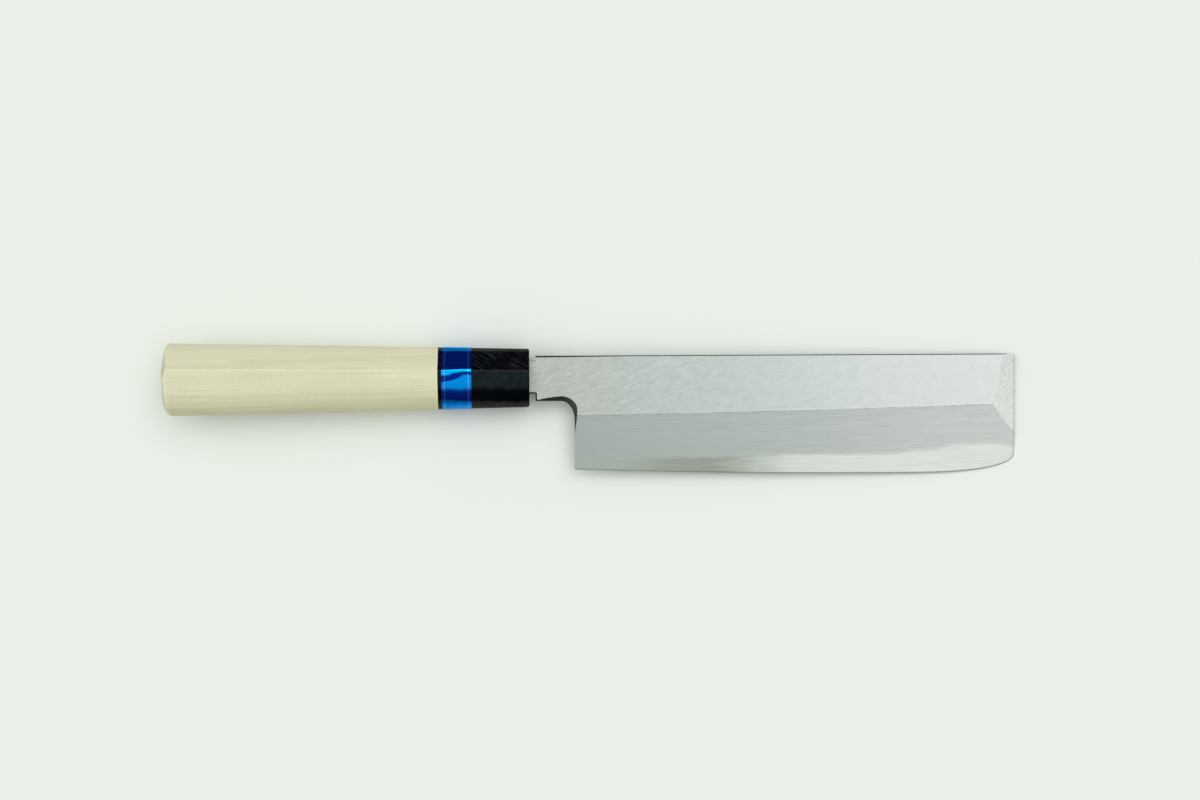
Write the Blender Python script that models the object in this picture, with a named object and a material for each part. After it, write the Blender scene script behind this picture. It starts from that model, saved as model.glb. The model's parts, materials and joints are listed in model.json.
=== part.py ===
"""Usuba: a Japanese vegetable knife with a single bevel and a wooden D handle, lying face up on a table.

Every piece is drawn in the knife's own axes. X runs from the heel (0) to the tip, Y from the handle's
axis (0) towards the spine, and Z out of the front face, with 0 in the middle of the tang. An empty then
lays the whole knife down as it really rests: on the ferrule's lower rim and the back of the tip.

Lengths are in metres.
"""

import math

import bmesh
import bpy
from mathutils import Matrix, Vector

# Blade outline, seen from the front
BLADE_LENGTH = 0.165  # heel to tip
HEEL_DEPTH = 0.0423  # spine to edge at the heel
EDGE_FLARE = 0.0022  # how much deeper the blade gets before the chin
CHIN_LENGTH = 0.044  # the rounded front end of the edge
CHIN_RISE = 0.0068
SPINE_RISE = 0.0082  # spine above the handle's axis
SPINE_CHAMFER = 0.0003
TIP_CORNER = 0.001  # radius where the spine turns down into the tip

# Blade grind: flat upper face, one bevel, flat back with a ground hollow
HEEL_THICKNESS = 0.0032
TIP_THICKNESS = 0.0021
FACE_DEPTH_HEEL = 0.0220  # spine to the bevel's upper line
FACE_DEPTH_TIP = 0.0184
BEVEL_LINE_BOW = 0.0005
EDGE_STEEL_THICKNESS = 0.0007
WELD_GAP = 0.00002  # two metals forged into one, so only what keeps their meshes apart
HOLLOW_DEPTH = 0.0003
RIM_AT_SPINE = 0.0030
RIM_AT_EDGE = 0.0016
RIM_AT_HEEL = 0.0070
RIM_AT_TIP = 0.0050

# Facet ground across the tip
TIP_FACET_AT_SPINE = 0.0049
TIP_FACET_AT_BEVEL_LINE = 0.0084
TIP_FACET_RUNOUT = 0.0115  # how far it runs down the bevel

# Neck, choil and tang
NECK_LENGTH = 0.0144  # tang shoulder to heel
NECK_DEPTH = 0.01675
CHOIL_LENGTH = 0.0050
CHOIL_HEIGHT = 0.0071
CHOIL_CHAMFER_AT_SHOULDER = 0.0005
CHOIL_CHAMFER = 0.0021  # in the middle of the choil's curve
CHOIL_CHAMFER_AT_HEEL = 0.0008
CHOIL_CHAMFER_RUNOUT = 0.0055  # how far the chamfer runs down the heel
CHOIL_CHAMFER_SWELL = 0.6  # power of the way from shoulder to curve: below 1 it swells early
SHOULDER_STEP = 0.00155  # spine down to the top of the tang
SHOULDER_GAP = 0.0023  # bare tang between shoulder and ferrule
TANG_LENGTH = 0.085
TANG_DEPTH = 0.01245
TANG_END_DEPTH = 0.0070
TANG_THICKNESS = 0.0031
TANG_END_THICKNESS = 0.0018
TANG_POINT = 0.006
TANG_CORNER = 0.0004
TANG_SEAT = 0.003  # how far the tang is rooted in the neck

# Handle: grip and ferrule share one tapered D section
HANDLE_LENGTH = 0.134
FERRULE_LENGTH = 0.0335
FRONT_HEIGHT = 0.0216
BUTT_HEIGHT = 0.0267
FRONT_THICKNESS = 0.0166
BUTT_THICKNESS = 0.0205
FRONT_RIDGE = 0.0026  # ridge line above the handle's axis
BUTT_RIDGE = 0.0039
UPPER_FACET_TILT = math.radians(35)
LOWER_FACET_TILT = math.radians(9)
UPPER_CORNER = 0.0011
BUTT_ROUNDING = 0.0022
FERRULE_ROUNDING = 0.0007
TENON_LENGTH = 0.018
TENON_HEIGHT = 0.0155
TENON_THICKNESS = 0.0108
TENON_CHAMFER = 0.001
FIT_GAP = 0.0003

# Foil band round the ferrule, and the seal round the tang in the ferrule's mouth
BAND_WIDTH = 0.0115
BAND_SETBACK = 0.0014  # in front of the joint between ferrule and grip
BAND_THICKNESS = 0.00015
BAND_GAP = 0.00005
SEAL_DEPTH = 0.0025
SEAL_WALL = 0.0006

# Steps that the curved stretches are drawn with
EDGE_STEPS = 24
CHIN_STEPS = 18
HOLLOW_STEPS = 12
CHOIL_STEPS = 14
LOWER_FACET_STEPS = 14
BACK_STEPS = 28
CORNER_STEPS = 5
ROUNDING_STEPS = 5
CUTTER_MARGIN = 0.0005  # how far a cutter reaches past what it cuts

BACK = -HEEL_THICKNESS / 2
SHOULDER = -NECK_LENGTH
FERRULE_FRONT = SHOULDER - SHOULDER_GAP
FERRULE_REAR = FERRULE_FRONT - FERRULE_LENGTH
BUTT = FERRULE_FRONT - HANDLE_LENGTH
NECK_BOTTOM = SPINE_RISE - NECK_DEPTH
TANG_AXIS = SPINE_RISE - SHOULDER_STEP - TANG_DEPTH / 2
TANG_BOTTOM = TANG_AXIS - TANG_DEPTH / 2


def mix(start: float, end: float, share: float) -> float:
    """The value at a share of the way from start to end."""
    return start + (end - start) * share


# Lines of the blade

def thickness_at(x: float) -> float:
    """Full thickness of the blade, which thins on its front face from the shoulder to the tip."""
    return mix(HEEL_THICKNESS, TIP_THICKNESS, (x - SHOULDER) / (BLADE_LENGTH - SHOULDER))


def front_at(x: float) -> float:
    """Height of the flat front face."""
    return BACK + thickness_at(x)


def bevel_line_at(x: float) -> float:
    """The line where the flat face turns into the bevel, bowed a little towards the edge."""
    share = x / BLADE_LENGTH
    bow = BEVEL_LINE_BOW * 4 * share * (1 - share)
    return SPINE_RISE - mix(FACE_DEPTH_HEEL, FACE_DEPTH_TIP, share) - bow


def edge_at(x: float) -> float:
    """The cutting edge's line.

    It falls away from the heel as a parabola that levels out where the chin starts. The chin is a
    superellipse with x to the power 3 and y squared, so it ends square to the edge's run.
    """
    belly = BLADE_LENGTH - CHIN_LENGTH
    lowest = SPINE_RISE - HEEL_DEPTH - EDGE_FLARE
    if x < belly:
        return lowest + EDGE_FLARE * (1 - max(0.0, x) / belly) ** 2
    reach = (x - belly) / CHIN_LENGTH
    return lowest + CHIN_RISE * (1 - math.sqrt(max(0.0, 1 - reach**3)))


def spine_at(x: float) -> float:
    """The spine's line: straight, then a quarter circle down into the tip."""
    past = max(0.0, x - (BLADE_LENGTH - TIP_CORNER))
    return SPINE_RISE - TIP_CORNER + math.sqrt(max(0.0, TIP_CORNER**2 - past**2))


def blade_stations(first: float) -> list[float]:
    """Places along the blade from first to the tip, closer together round the chin and the tip's corner."""
    belly = BLADE_LENGTH - CHIN_LENGTH
    corner = BLADE_LENGTH - TIP_CORNER
    places = [first] if first < 0 else []
    places.extend(belly * step / EDGE_STEPS for step in range(EDGE_STEPS))
    for step in range(CHIN_STEPS):
        x = belly + CHIN_LENGTH * math.sin(math.pi / 2 * step / CHIN_STEPS) ** (2 / 3)
        if x < corner - TIP_CORNER / 2:
            places.append(x)
    for step in range(CORNER_STEPS + 1):
        places.append(corner + TIP_CORNER * math.sin(math.pi / 2 * step / CORNER_STEPS))
    return places


def weld_edge_at(x: float, level: float) -> float:
    """Where a plane at the given level above the back comes out of the bevel."""
    return mix(edge_at(x), bevel_line_at(x), level / thickness_at(x))


def choil_chamfer_at(run: float, middle: float, heel: float) -> float:
    """Width of the choil's chamfer at a run from where the neck's straight side begins.

    It swells as a power of the way to the middle of the choil's curve, shrinks again to the curve's end
    at the heel, and fades out down the heel.
    """
    if run < middle:
        return mix(CHOIL_CHAMFER_AT_SHOULDER, CHOIL_CHAMFER, (run / middle) ** CHOIL_CHAMFER_SWELL)
    if run < heel:
        share = (run - middle) / (heel - middle)
        return mix(CHOIL_CHAMFER, CHOIL_CHAMFER_AT_HEEL, share * share * (3 - 2 * share))
    return mix(CHOIL_CHAMFER_AT_HEEL, 0.0, min(1.0, (run - heel) / CHOIL_CHAMFER_RUNOUT))


# Sections

def steel_bar_section(x: float) -> list[Vector]:
    """The blade's full section: chamfered spine, flat face, bevel and flat back."""
    front = front_at(x)
    spine = spine_at(x)
    outline = [
        (spine - SPINE_CHAMFER, BACK),
        (spine, BACK + SPINE_CHAMFER),
        (spine, front - SPINE_CHAMFER),
        (spine - SPINE_CHAMFER, front),
        (bevel_line_at(x), front),
        (edge_at(x), BACK),
    ]
    return [Vector((x, y, z)) for y, z in outline]


def edge_steel_section(x: float) -> list[Vector]:
    """The hard layer at the back: level top, its share of the bevel, and the hollow between two rims.

    Across the blade the hollow is a parabola. Along the blade its depth follows the sixth power of the
    distance from the middle, so it runs level and fades out just inside the rims at heel and tip.
    """
    edge = edge_at(x)
    spine = spine_at(x)
    outline = [
        (spine - SPINE_CHAMFER, BACK),
        (spine, BACK + SPINE_CHAMFER),
        (spine, BACK + EDGE_STEEL_THICKNESS),
        (weld_edge_at(x, EDGE_STEEL_THICKNESS), BACK + EDGE_STEEL_THICKNESS),
        (edge, BACK),
    ]
    along = (x - RIM_AT_HEEL) / (BLADE_LENGTH - RIM_AT_TIP - RIM_AT_HEEL)
    depth = HOLLOW_DEPTH * math.sqrt(max(0.0, 1 - abs(2 * along - 1) ** 6))
    for step in range(HOLLOW_STEPS + 1):
        across = step / HOLLOW_STEPS
        y = mix(edge + RIM_AT_EDGE, SPINE_RISE - RIM_AT_SPINE, across)
        outline.append((y, BACK + depth * (1 - (2 * across - 1) ** 2)))
    return [Vector((x, y, z)) for y, z in outline]


def tang_section(x: float, depth: float, thickness: float, clearance: float) -> list[Vector]:
    """An eight-sided bar section round the tang's axis, grown on all sides by a clearance."""
    half_depth = depth / 2 + clearance
    half_thickness = thickness / 2 + clearance
    inner_depth = half_depth - TANG_CORNER
    inner_thickness = half_thickness - TANG_CORNER
    corners = [
        (inner_depth, half_thickness),
        (half_depth, inner_thickness),
        (half_depth, -inner_thickness),
        (inner_depth, -half_thickness),
        (-inner_depth, -half_thickness),
        (-half_depth, -inner_thickness),
        (-half_depth, inner_thickness),
        (-inner_depth, half_thickness),
    ]
    return [Vector((x, TANG_AXIS + y, z)) for y, z in corners]


def handle_section(x: float, inset: float = 0.0) -> list[Vector]:
    """The D section at one place of the tapered handle, drawn in on all sides by an inset.

    From the ridge the lower facet is a Bezier curve that starts almost level and ends upright at the
    lower side. The back is half an ellipse. The upper facet is flat, and one arc rounds its corner.
    """
    share = (FERRULE_FRONT - x) / HANDLE_LENGTH
    height = mix(FRONT_HEIGHT, BUTT_HEIGHT, share)
    half_height = height / 2 - inset
    half_thickness = mix(FRONT_THICKNESS, BUTT_THICKNESS, share) / 2 - inset
    ridge = mix(FRONT_RIDGE, BUTT_RIDGE, share) * 2 * half_height / height
    reach = (half_height + ridge) * 0.5
    handles = [
        Vector((ridge, half_thickness)),
        Vector((ridge - reach, half_thickness - reach * math.tan(LOWER_FACET_TILT))),
        Vector((-half_height, half_thickness * 0.62)),
        Vector((-half_height, 0.0)),
    ]
    outline = []
    for step in range(LOWER_FACET_STEPS):
        t = step / LOWER_FACET_STEPS
        weights = ((1 - t) ** 3, 3 * t * (1 - t) ** 2, 3 * t**2 * (1 - t), t**3)
        outline.append(sum((weight * handle for weight, handle in zip(weights, handles)), Vector((0, 0))))
    for step in range(BACK_STEPS):
        turn = math.pi + math.pi * step / BACK_STEPS
        outline.append(Vector((half_height * math.cos(turn), half_thickness * math.sin(turn))))
    radius = UPPER_CORNER
    corner = half_thickness - (half_height - ridge) * math.tan(UPPER_FACET_TILT)
    open_angle = math.pi / 2 - UPPER_FACET_TILT
    centre = Vector((half_height - radius, corner - radius * math.tan(open_angle / 2)))
    for step in range(CORNER_STEPS + 1):
        turn = open_angle * step / CORNER_STEPS
        outline.append(centre + radius * Vector((math.cos(turn), math.sin(turn))))
    return [Vector((x, point.x, point.y)) for point in outline]


def tenon_section(x: float, grow: float) -> list[Vector]:
    """An ellipse with one point under each point of the handle's section, as seen from the axis."""
    half_height = TENON_HEIGHT / 2 + grow
    half_thickness = TENON_THICKNESS / 2 + grow
    points = []
    for outer in handle_section(FERRULE_REAR):
        turn = math.atan2(outer.z, outer.y)
        radius = 1 / math.hypot(math.cos(turn) / half_height, math.sin(turn) / half_thickness)
        points.append(Vector((x, radius * math.cos(turn), radius * math.sin(turn))))
    return points


# Building blocks

def loft(name: str, rings: list[list[Vector]], closed: bool = False) -> bpy.types.Object:
    """A body whose skin joins each ring of points to the next.

    The two end rings are filled, or joined to each other where the body closes on itself.
    """
    body = bmesh.new()
    loops = [[body.verts.new(point) for point in ring] for ring in rings]
    pairs = list(zip(loops, loops[1:]))
    if closed:
        pairs.append((loops[-1], loops[0]))
    else:
        body.faces.new(loops[0])
        body.faces.new(loops[-1])
    for near, far in pairs:
        for index, point in enumerate(near):
            after = (index + 1) % len(near)
            body.faces.new((point, near[after], far[after], far[index]))
    bmesh.ops.recalc_face_normals(body, faces=body.faces)
    bmesh.ops.triangulate(body, faces=body.faces)
    mesh = bpy.data.meshes.new(name)
    body.to_mesh(mesh)
    body.free()
    thing = bpy.data.objects.new(name, mesh)
    bpy.context.scene.collection.objects.link(thing)
    return thing


def block(name: str, low: tuple[float, float, float], high: tuple[float, float, float]) -> bpy.types.Object:
    """A box between two corners."""
    rings = []
    for x in (low[0], high[0]):
        rings.append([
            Vector((x, low[1], low[2])),
            Vector((x, high[1], low[2])),
            Vector((x, high[1], high[2])),
            Vector((x, low[1], high[2])),
        ])
    return loft(name, rings)


def combine(body: bpy.types.Object, tool: bpy.types.Object, operation: str) -> None:
    """Cut a tool out of a body, or weld the tool to it, and keep the tool out of sight."""
    modifier = body.modifiers.new(tool.name, "BOOLEAN")
    modifier.operation = operation
    modifier.solver = "EXACT"
    modifier.object = tool
    tool.hide_render = True
    tool.display_type = "WIRE"


def paint(
    thing: bpy.types.Object, color: tuple[float, float, float], roughness: float, metallic: float
) -> None:
    """Give an object its own material."""
    material = bpy.data.materials.new(thing.name)
    material.use_nodes = True
    shader = material.node_tree.nodes["Principled BSDF"]
    shader.inputs["Base Color"].default_value = (*color, 1.0)
    shader.inputs["Roughness"].default_value = roughness
    shader.inputs["Metallic"].default_value = metallic
    thing.data.materials.append(material)


def shade(thing: bpy.types.Object, sharp_degrees: float) -> None:
    """Shade a rounded piece smooth, but keep its real creases."""
    thing.data.shade_smooth()
    thing.data.set_sharp_from_angle(angle=math.radians(sharp_degrees))


def rounded_end(end: float, radius: float, direction: int) -> list[list[Vector]]:
    """Handle sections that round off one end, from the end face to the full section."""
    rings = []
    for step in range(ROUNDING_STEPS + 1):
        turn = math.pi / 2 * (1 - step / ROUNDING_STEPS)
        x = end - direction * radius * (1 - math.sin(turn))
        rings.append(handle_section(x, radius * (1 - math.cos(turn))))
    return rings


# Cutters

def tang_body(name: str, clearance: float) -> bpy.types.Object:
    """The tang, or the hole for it: a bar that tapers to a blunt point inside the grip."""
    end = SHOULDER - TANG_LENGTH
    point = end + TANG_POINT
    root = SHOULDER + TANG_SEAT
    rings = [
        tang_section(end - clearance, TANG_END_DEPTH / 2, TANG_END_THICKNESS, clearance),
        tang_section(point, TANG_END_DEPTH, TANG_END_THICKNESS, clearance),
        tang_section(SHOULDER, TANG_DEPTH, TANG_THICKNESS, clearance),
        tang_section(root, TANG_DEPTH, TANG_THICKNESS, clearance),
    ]
    return loft(name, rings)


def choil_cutter() -> bpy.types.Object:
    """Clears the corner under the tang and the neck, with a quarter ellipse where neck and heel meet.

    Its wall leans out by 45 degrees near the front face, and leaves a chamfer that runs down the
    shoulder, along the neck, round the choil and down the heel. The first points of its path run just
    outside the shoulder, so that only the lean touches it, and are mitred.
    """
    left = SHOULDER - SHOULDER_GAP
    wall = SHOULDER - WELD_GAP
    bottom = SPINE_RISE - HEEL_DEPTH - EDGE_FLARE - CUTTER_MARGIN
    neck_start = SHOULDER + CHOIL_CHAMFER_AT_SHOULDER + 2 * CUTTER_MARGIN
    shoulder_path = [
        (Vector((left, TANG_BOTTOM)), Vector((0, 1))),
        (Vector((wall, TANG_BOTTOM)), Vector((1, 1))),
        (Vector((wall, NECK_BOTTOM)), Vector((1, 1))),
    ]
    path = []
    for step in range(CHOIL_STEPS):
        x = mix(neck_start, -CHOIL_LENGTH, step / CHOIL_STEPS)
        path.append((Vector((x, NECK_BOTTOM)), Vector((0, 1))))
    centre = Vector((-CHOIL_LENGTH, NECK_BOTTOM - CHOIL_HEIGHT))
    for step in range(CHOIL_STEPS + 1):
        turn = math.pi / 2 * (1 - step / CHOIL_STEPS)
        spot = centre + Vector((CHOIL_LENGTH * math.cos(turn), CHOIL_HEIGHT * math.sin(turn)))
        outward = Vector((math.cos(turn) / CHOIL_LENGTH, math.sin(turn) / CHOIL_HEIGHT)).normalized()
        path.append((spot, outward))
    for step in range(1, CHOIL_STEPS + 1):
        drop = CHOIL_CHAMFER_RUNOUT * step / CHOIL_STEPS
        path.append((Vector((0, centre.y - drop)), Vector((1, 0))))
    path.append((Vector((0, bottom)), Vector((1, 0))))

    travelled = [0.0]
    for (here, _), (there, _) in zip(path, path[1:]):
        travelled.append(travelled[-1] + (there - here).length)
    middle = travelled[CHOIL_STEPS + CHOIL_STEPS // 2]
    heel = travelled[2 * CHOIL_STEPS]
    widths = [CHOIL_CHAMFER_AT_SHOULDER] * len(shoulder_path)
    widths.extend(choil_chamfer_at(run, middle, heel) for run in travelled)

    rings = [[], [], []]
    for (spot, outward), width in zip(shoulder_path + path, widths):
        front = front_at(spot.x)
        flared = spot + outward * (width + CUTTER_MARGIN)
        rings[0].append(Vector((spot.x, spot.y, BACK - CUTTER_MARGIN)))
        rings[1].append(Vector((spot.x, spot.y, front - width)))
        rings[2].append(Vector((flared.x, flared.y, front + CUTTER_MARGIN)))
    for ring in rings:
        ring.append(Vector((left, bottom, ring[0].z)))
    return loft("choil_cutter", rings)


def tip_facet_cutter() -> bpy.types.Object:
    """A slab whose underside is the facet, set by its ends on the spine, the bevel line and the tip."""
    at_spine = BLADE_LENGTH - TIP_FACET_AT_SPINE
    at_line = BLADE_LENGTH - TIP_FACET_AT_BEVEL_LINE
    chin_edge = edge_at(BLADE_LENGTH)
    low = bevel_line_at(BLADE_LENGTH) - TIP_FACET_RUNOUT
    fall = (bevel_line_at(BLADE_LENGTH) - low) / (bevel_line_at(BLADE_LENGTH) - chin_edge)
    spine_end = Vector((at_spine, SPINE_RISE, front_at(at_spine)))
    line_end = Vector((at_line, bevel_line_at(at_line), front_at(at_line)))
    tip_end = Vector((BLADE_LENGTH, low, front_at(BLADE_LENGTH) - fall * TIP_THICKNESS))
    normal = (spine_end - line_end).cross(line_end - tip_end)
    normal = normal.normalized() if normal.z > 0 else -normal.normalized()
    along = (spine_end - line_end).normalized()
    across = along.cross(normal)
    across = across if across.x > 0 else -across
    rings = []
    for run in (-HEEL_DEPTH, HEEL_DEPTH):
        near = line_end + along * run - across * CUTTER_MARGIN
        far = near + across * HEEL_DEPTH
        rings.append([near, far, far + normal * HEEL_THICKNESS, near + normal * HEEL_THICKNESS])
    return loft("tip_facet_cutter", rings)


# Pieces

def make_blade_cladding() -> bpy.types.Object:
    """Soft steel: the front of the blade with its bevel, the neck and the tang in one forging."""
    cladding = loft("blade_cladding", [steel_bar_section(x) for x in blade_stations(SHOULDER)])
    pocket = block(
        "edge_steel_pocket",
        (-WELD_GAP, SPINE_RISE - 2 * HEEL_DEPTH, BACK - CUTTER_MARGIN),
        (BLADE_LENGTH + CUTTER_MARGIN, SPINE_RISE + CUTTER_MARGIN, BACK + EDGE_STEEL_THICKNESS + WELD_GAP),
    )
    combine(cladding, choil_cutter(), "DIFFERENCE")
    combine(cladding, pocket, "DIFFERENCE")
    combine(cladding, tip_facet_cutter(), "DIFFERENCE")
    combine(cladding, tang_body("tang_root", 0.0), "UNION")
    paint(cladding, (0.62, 0.66, 0.65), 0.32, 1.0)
    return cladding


def make_edge_steel() -> bpy.types.Object:
    """Hard steel: the back of the blade from the heel on, with the ground hollow and the cutting edge."""
    steel = loft("edge_steel", [edge_steel_section(x) for x in blade_stations(0.0)])
    paint(steel, (0.70, 0.73, 0.70), 0.22, 1.0)
    shade(steel, 3)
    return steel


def make_handle_grip() -> bpy.types.Object:
    """Magnolia wood: rounded butt, tapered D body, and a tenon with the hole for the tang."""
    shoulder = FERRULE_REAR - FIT_GAP
    tenon_end = FERRULE_REAR + TENON_LENGTH
    rings = rounded_end(BUTT, BUTT_ROUNDING, -1)
    rings.append(handle_section(shoulder))
    rings.append(tenon_section(shoulder, 0.0))
    rings.append(tenon_section(tenon_end - TENON_CHAMFER, 0.0))
    rings.append(tenon_section(tenon_end, -TENON_CHAMFER))
    grip = loft("handle_grip", rings)
    combine(grip, tang_body("tang_hole_in_grip", FIT_GAP), "DIFFERENCE")
    paint(grip, (0.72, 0.70, 0.51), 0.62, 0.0)
    shade(grip, 24)
    return grip


def make_ferrule() -> bpy.types.Object:
    """Black horn: carries on the grip's section, with a socket behind and the tang's slot in front."""
    rings = [handle_section(FERRULE_REAR), *reversed(rounded_end(FERRULE_FRONT, FERRULE_ROUNDING, 1))]
    ferrule = loft("ferrule", rings)
    socket = loft("tenon_socket", [
        tenon_section(FERRULE_REAR - CUTTER_MARGIN, FIT_GAP),
        tenon_section(FERRULE_REAR + TENON_LENGTH + FIT_GAP, FIT_GAP),
    ])
    combine(ferrule, socket, "DIFFERENCE")
    combine(ferrule, tang_body("tang_slot_in_ferrule", FIT_GAP), "DIFFERENCE")
    combine(ferrule, seal_blank("seal_recess", 2 * FIT_GAP + SEAL_WALL, FIT_GAP), "DIFFERENCE")
    paint(ferrule, (0.012, 0.014, 0.016), 0.30, 0.0)
    shade(ferrule, 24)
    return ferrule


def seal_blank(name: str, grow: float, reach: float) -> bpy.types.Object:
    """A short bar round the tang in the ferrule's mouth, before the tang's hole is cut."""
    rear = FERRULE_FRONT - SEAL_DEPTH - reach
    front = FERRULE_FRONT + (reach and CUTTER_MARGIN)
    return loft(name, [tang_section(x, TANG_DEPTH, TANG_THICKNESS, grow) for x in (rear, front)])


def make_tang_seal() -> bpy.types.Object:
    """Resin that closes the ferrule's mouth round the tang."""
    seal = seal_blank("tang_seal", FIT_GAP + SEAL_WALL, 0.0)
    combine(seal, tang_body("tang_hole_in_seal", FIT_GAP), "DIFFERENCE")
    paint(seal, (0.05, 0.035, 0.02), 0.5, 0.0)
    return seal


def make_ferrule_band() -> bpy.types.Object:
    """Foil wrapped once round the ferrule, just in front of its joint with the grip."""
    rear = FERRULE_REAR + BAND_SETBACK
    front = rear + BAND_WIDTH
    inner = -BAND_GAP
    outer = -BAND_GAP - BAND_THICKNESS
    borders = ((rear, outer), (front, outer), (front, inner), (rear, inner))
    rings = [handle_section(x, inset) for x, inset in borders]
    band = loft("ferrule_band", rings, closed=True)
    paint(band, (0.02, 0.16, 0.42), 0.35, 0.8)
    shade(band, 24)
    return band


# The knife on the table

def rest_tilt() -> float:
    """How far the tip dips when it and the ferrule's lower front rim touch the table together."""
    slopes = []
    for ring in rounded_end(FERRULE_FRONT, FERRULE_ROUNDING, 1):
        drop = BACK - min(point.z for point in ring)
        slopes.append(math.atan2(drop, BLADE_LENGTH - ring[0].x))
    return max(slopes)


def lay_on_table(pieces: list[bpy.types.Object]) -> None:
    """Tilt everything to its rest, with the origin under the middle of the knife at table level."""
    table_rest = bpy.data.objects.new("table_rest", None)
    bpy.context.scene.collection.objects.link(table_rest)
    for thing in bpy.context.scene.objects:
        if thing is not table_rest:
            thing.parent = table_rest
    tilt = Matrix.Rotation(rest_tilt(), 4, "Y")
    bpy.context.view_layer.update()
    graph = bpy.context.evaluated_depsgraph_get()
    corners = []
    for piece in pieces:
        corners.extend(tilt @ vertex.co for vertex in piece.evaluated_get(graph).data.vertices)
    low = [min(corner[axis] for corner in corners) for axis in range(3)]
    high = [max(corner[axis] for corner in corners) for axis in range(3)]
    table_rest.rotation_euler = (0.0, rest_tilt(), 0.0)
    table_rest.location = (-(low[0] + high[0]) / 2, -(low[1] + high[1]) / 2, -low[2])
    bpy.context.view_layer.update()


def main() -> None:
    """Clear the scene, make the six pieces and lay them down."""
    for old in list(bpy.data.objects):
        bpy.data.objects.remove(old, do_unlink=True)
    pieces = [
        make_blade_cladding(),
        make_edge_steel(),
        make_handle_grip(),
        make_ferrule(),
        make_ferrule_band(),
        make_tang_seal(),
    ]
    lay_on_table(pieces)


main()
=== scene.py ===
"""The looks of a usuba, a Japanese vegetable knife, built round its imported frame.

Every form is drawn in the knife's own axes, in metres: X from the heel (0) to the tip, Y from the
handle's axis (0) to the spine, Z out of the front face. KnifeAxes lays the finished points down where
the frame has them. Colours are linear red, green and blue.
"""
import json
import logging
import math
from dataclasses import dataclass
from enum import Enum
from typing import ClassVar

import bmesh
import bpy
import numpy as np
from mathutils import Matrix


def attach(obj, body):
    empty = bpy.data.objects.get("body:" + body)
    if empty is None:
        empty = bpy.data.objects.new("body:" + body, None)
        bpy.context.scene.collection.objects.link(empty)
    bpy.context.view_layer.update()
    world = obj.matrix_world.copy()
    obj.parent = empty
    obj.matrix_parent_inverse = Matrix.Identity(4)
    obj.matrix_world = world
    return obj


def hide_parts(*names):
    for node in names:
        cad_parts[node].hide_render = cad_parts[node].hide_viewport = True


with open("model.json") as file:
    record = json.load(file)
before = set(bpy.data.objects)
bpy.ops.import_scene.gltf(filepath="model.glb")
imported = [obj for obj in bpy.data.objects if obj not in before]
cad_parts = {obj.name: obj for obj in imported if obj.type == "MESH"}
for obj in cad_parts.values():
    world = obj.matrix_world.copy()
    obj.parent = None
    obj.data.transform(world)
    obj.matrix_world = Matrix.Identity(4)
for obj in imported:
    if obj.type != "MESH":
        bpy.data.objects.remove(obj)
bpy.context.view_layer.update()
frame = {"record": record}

log = logging.getLogger("usuba")
Socket = bpy.types.NodeSocket
Colour = tuple[float, float, float]
Range = tuple[float, float]
MM = 1000.0


class Slot(Enum):
    """The record's material slots."""

    SOFT_STEEL = "soft_steel"
    HARD_STEEL = "hard_steel"
    WOOD = "magnolia_wood"
    HORN = "horn"
    FOIL = "foil"
    RESIN = "resin"


# Small helpers


def mix(start: np.ndarray, end: np.ndarray, share: np.ndarray) -> np.ndarray:
    """The value at a share of the way from start to end."""
    return start + (end - start) * share


def eased(share: np.ndarray) -> np.ndarray:
    """A share of the way, made to start and end gently: 3s squared minus 2s cubed, kept from 0 to 1."""
    share = np.clip(share, 0.0, 1.0)
    return share * share * (3 - 2 * share)


def through(stations: tuple[tuple[float, float], ...], at: np.ndarray) -> np.ndarray:
    """A line through stations that eases from each to the next.

    Args:
        stations: pairs of a place and the value there.
        at: the places asked for.

    Returns:
        The values there.
    """
    keys, values = np.array(stations).T
    at = np.clip(at, keys[0], keys[-1])
    index = np.clip(np.searchsorted(keys, at, side="right") - 1, 0, len(keys) - 2)
    share = (at - keys[index]) / (keys[index + 1] - keys[index])
    return mix(values[index], values[index + 1], eased(share))


def bezier(t: np.ndarray, *knots: np.ndarray) -> np.ndarray:
    """A Bezier curve at t: the sum of its knots, each times its Bernstein polynomial."""
    last = len(knots) - 1
    return sum(math.comb(last, k) * (1 - t) ** (last - k) * t**k * knot for k, knot in enumerate(knots))


def steps(count: int) -> np.ndarray:
    """Even shares of the way from 0 to 1, in a number of steps."""
    return np.linspace(0, 1, count + 1)


def paced(stops: tuple[float, ...], counts: tuple[int, ...]) -> np.ndarray:
    """Places from the first stop to the last, with a count of even steps between each two."""
    return np.interp(np.arange(sum(counts) + 1), np.cumsum([0, *counts]), stops)


def stack(*coordinates: np.ndarray) -> np.ndarray:
    """Coordinates, stretched to one shape, as points."""
    return np.stack(np.broadcast_arrays(*coordinates), axis=-1).astype(float)


def at_level(points: np.ndarray, level: float) -> np.ndarray:
    """A line of points, moved straight to one height."""
    return stack(points[:, 0], points[:, 1], level)


# Placing and sewing


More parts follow.
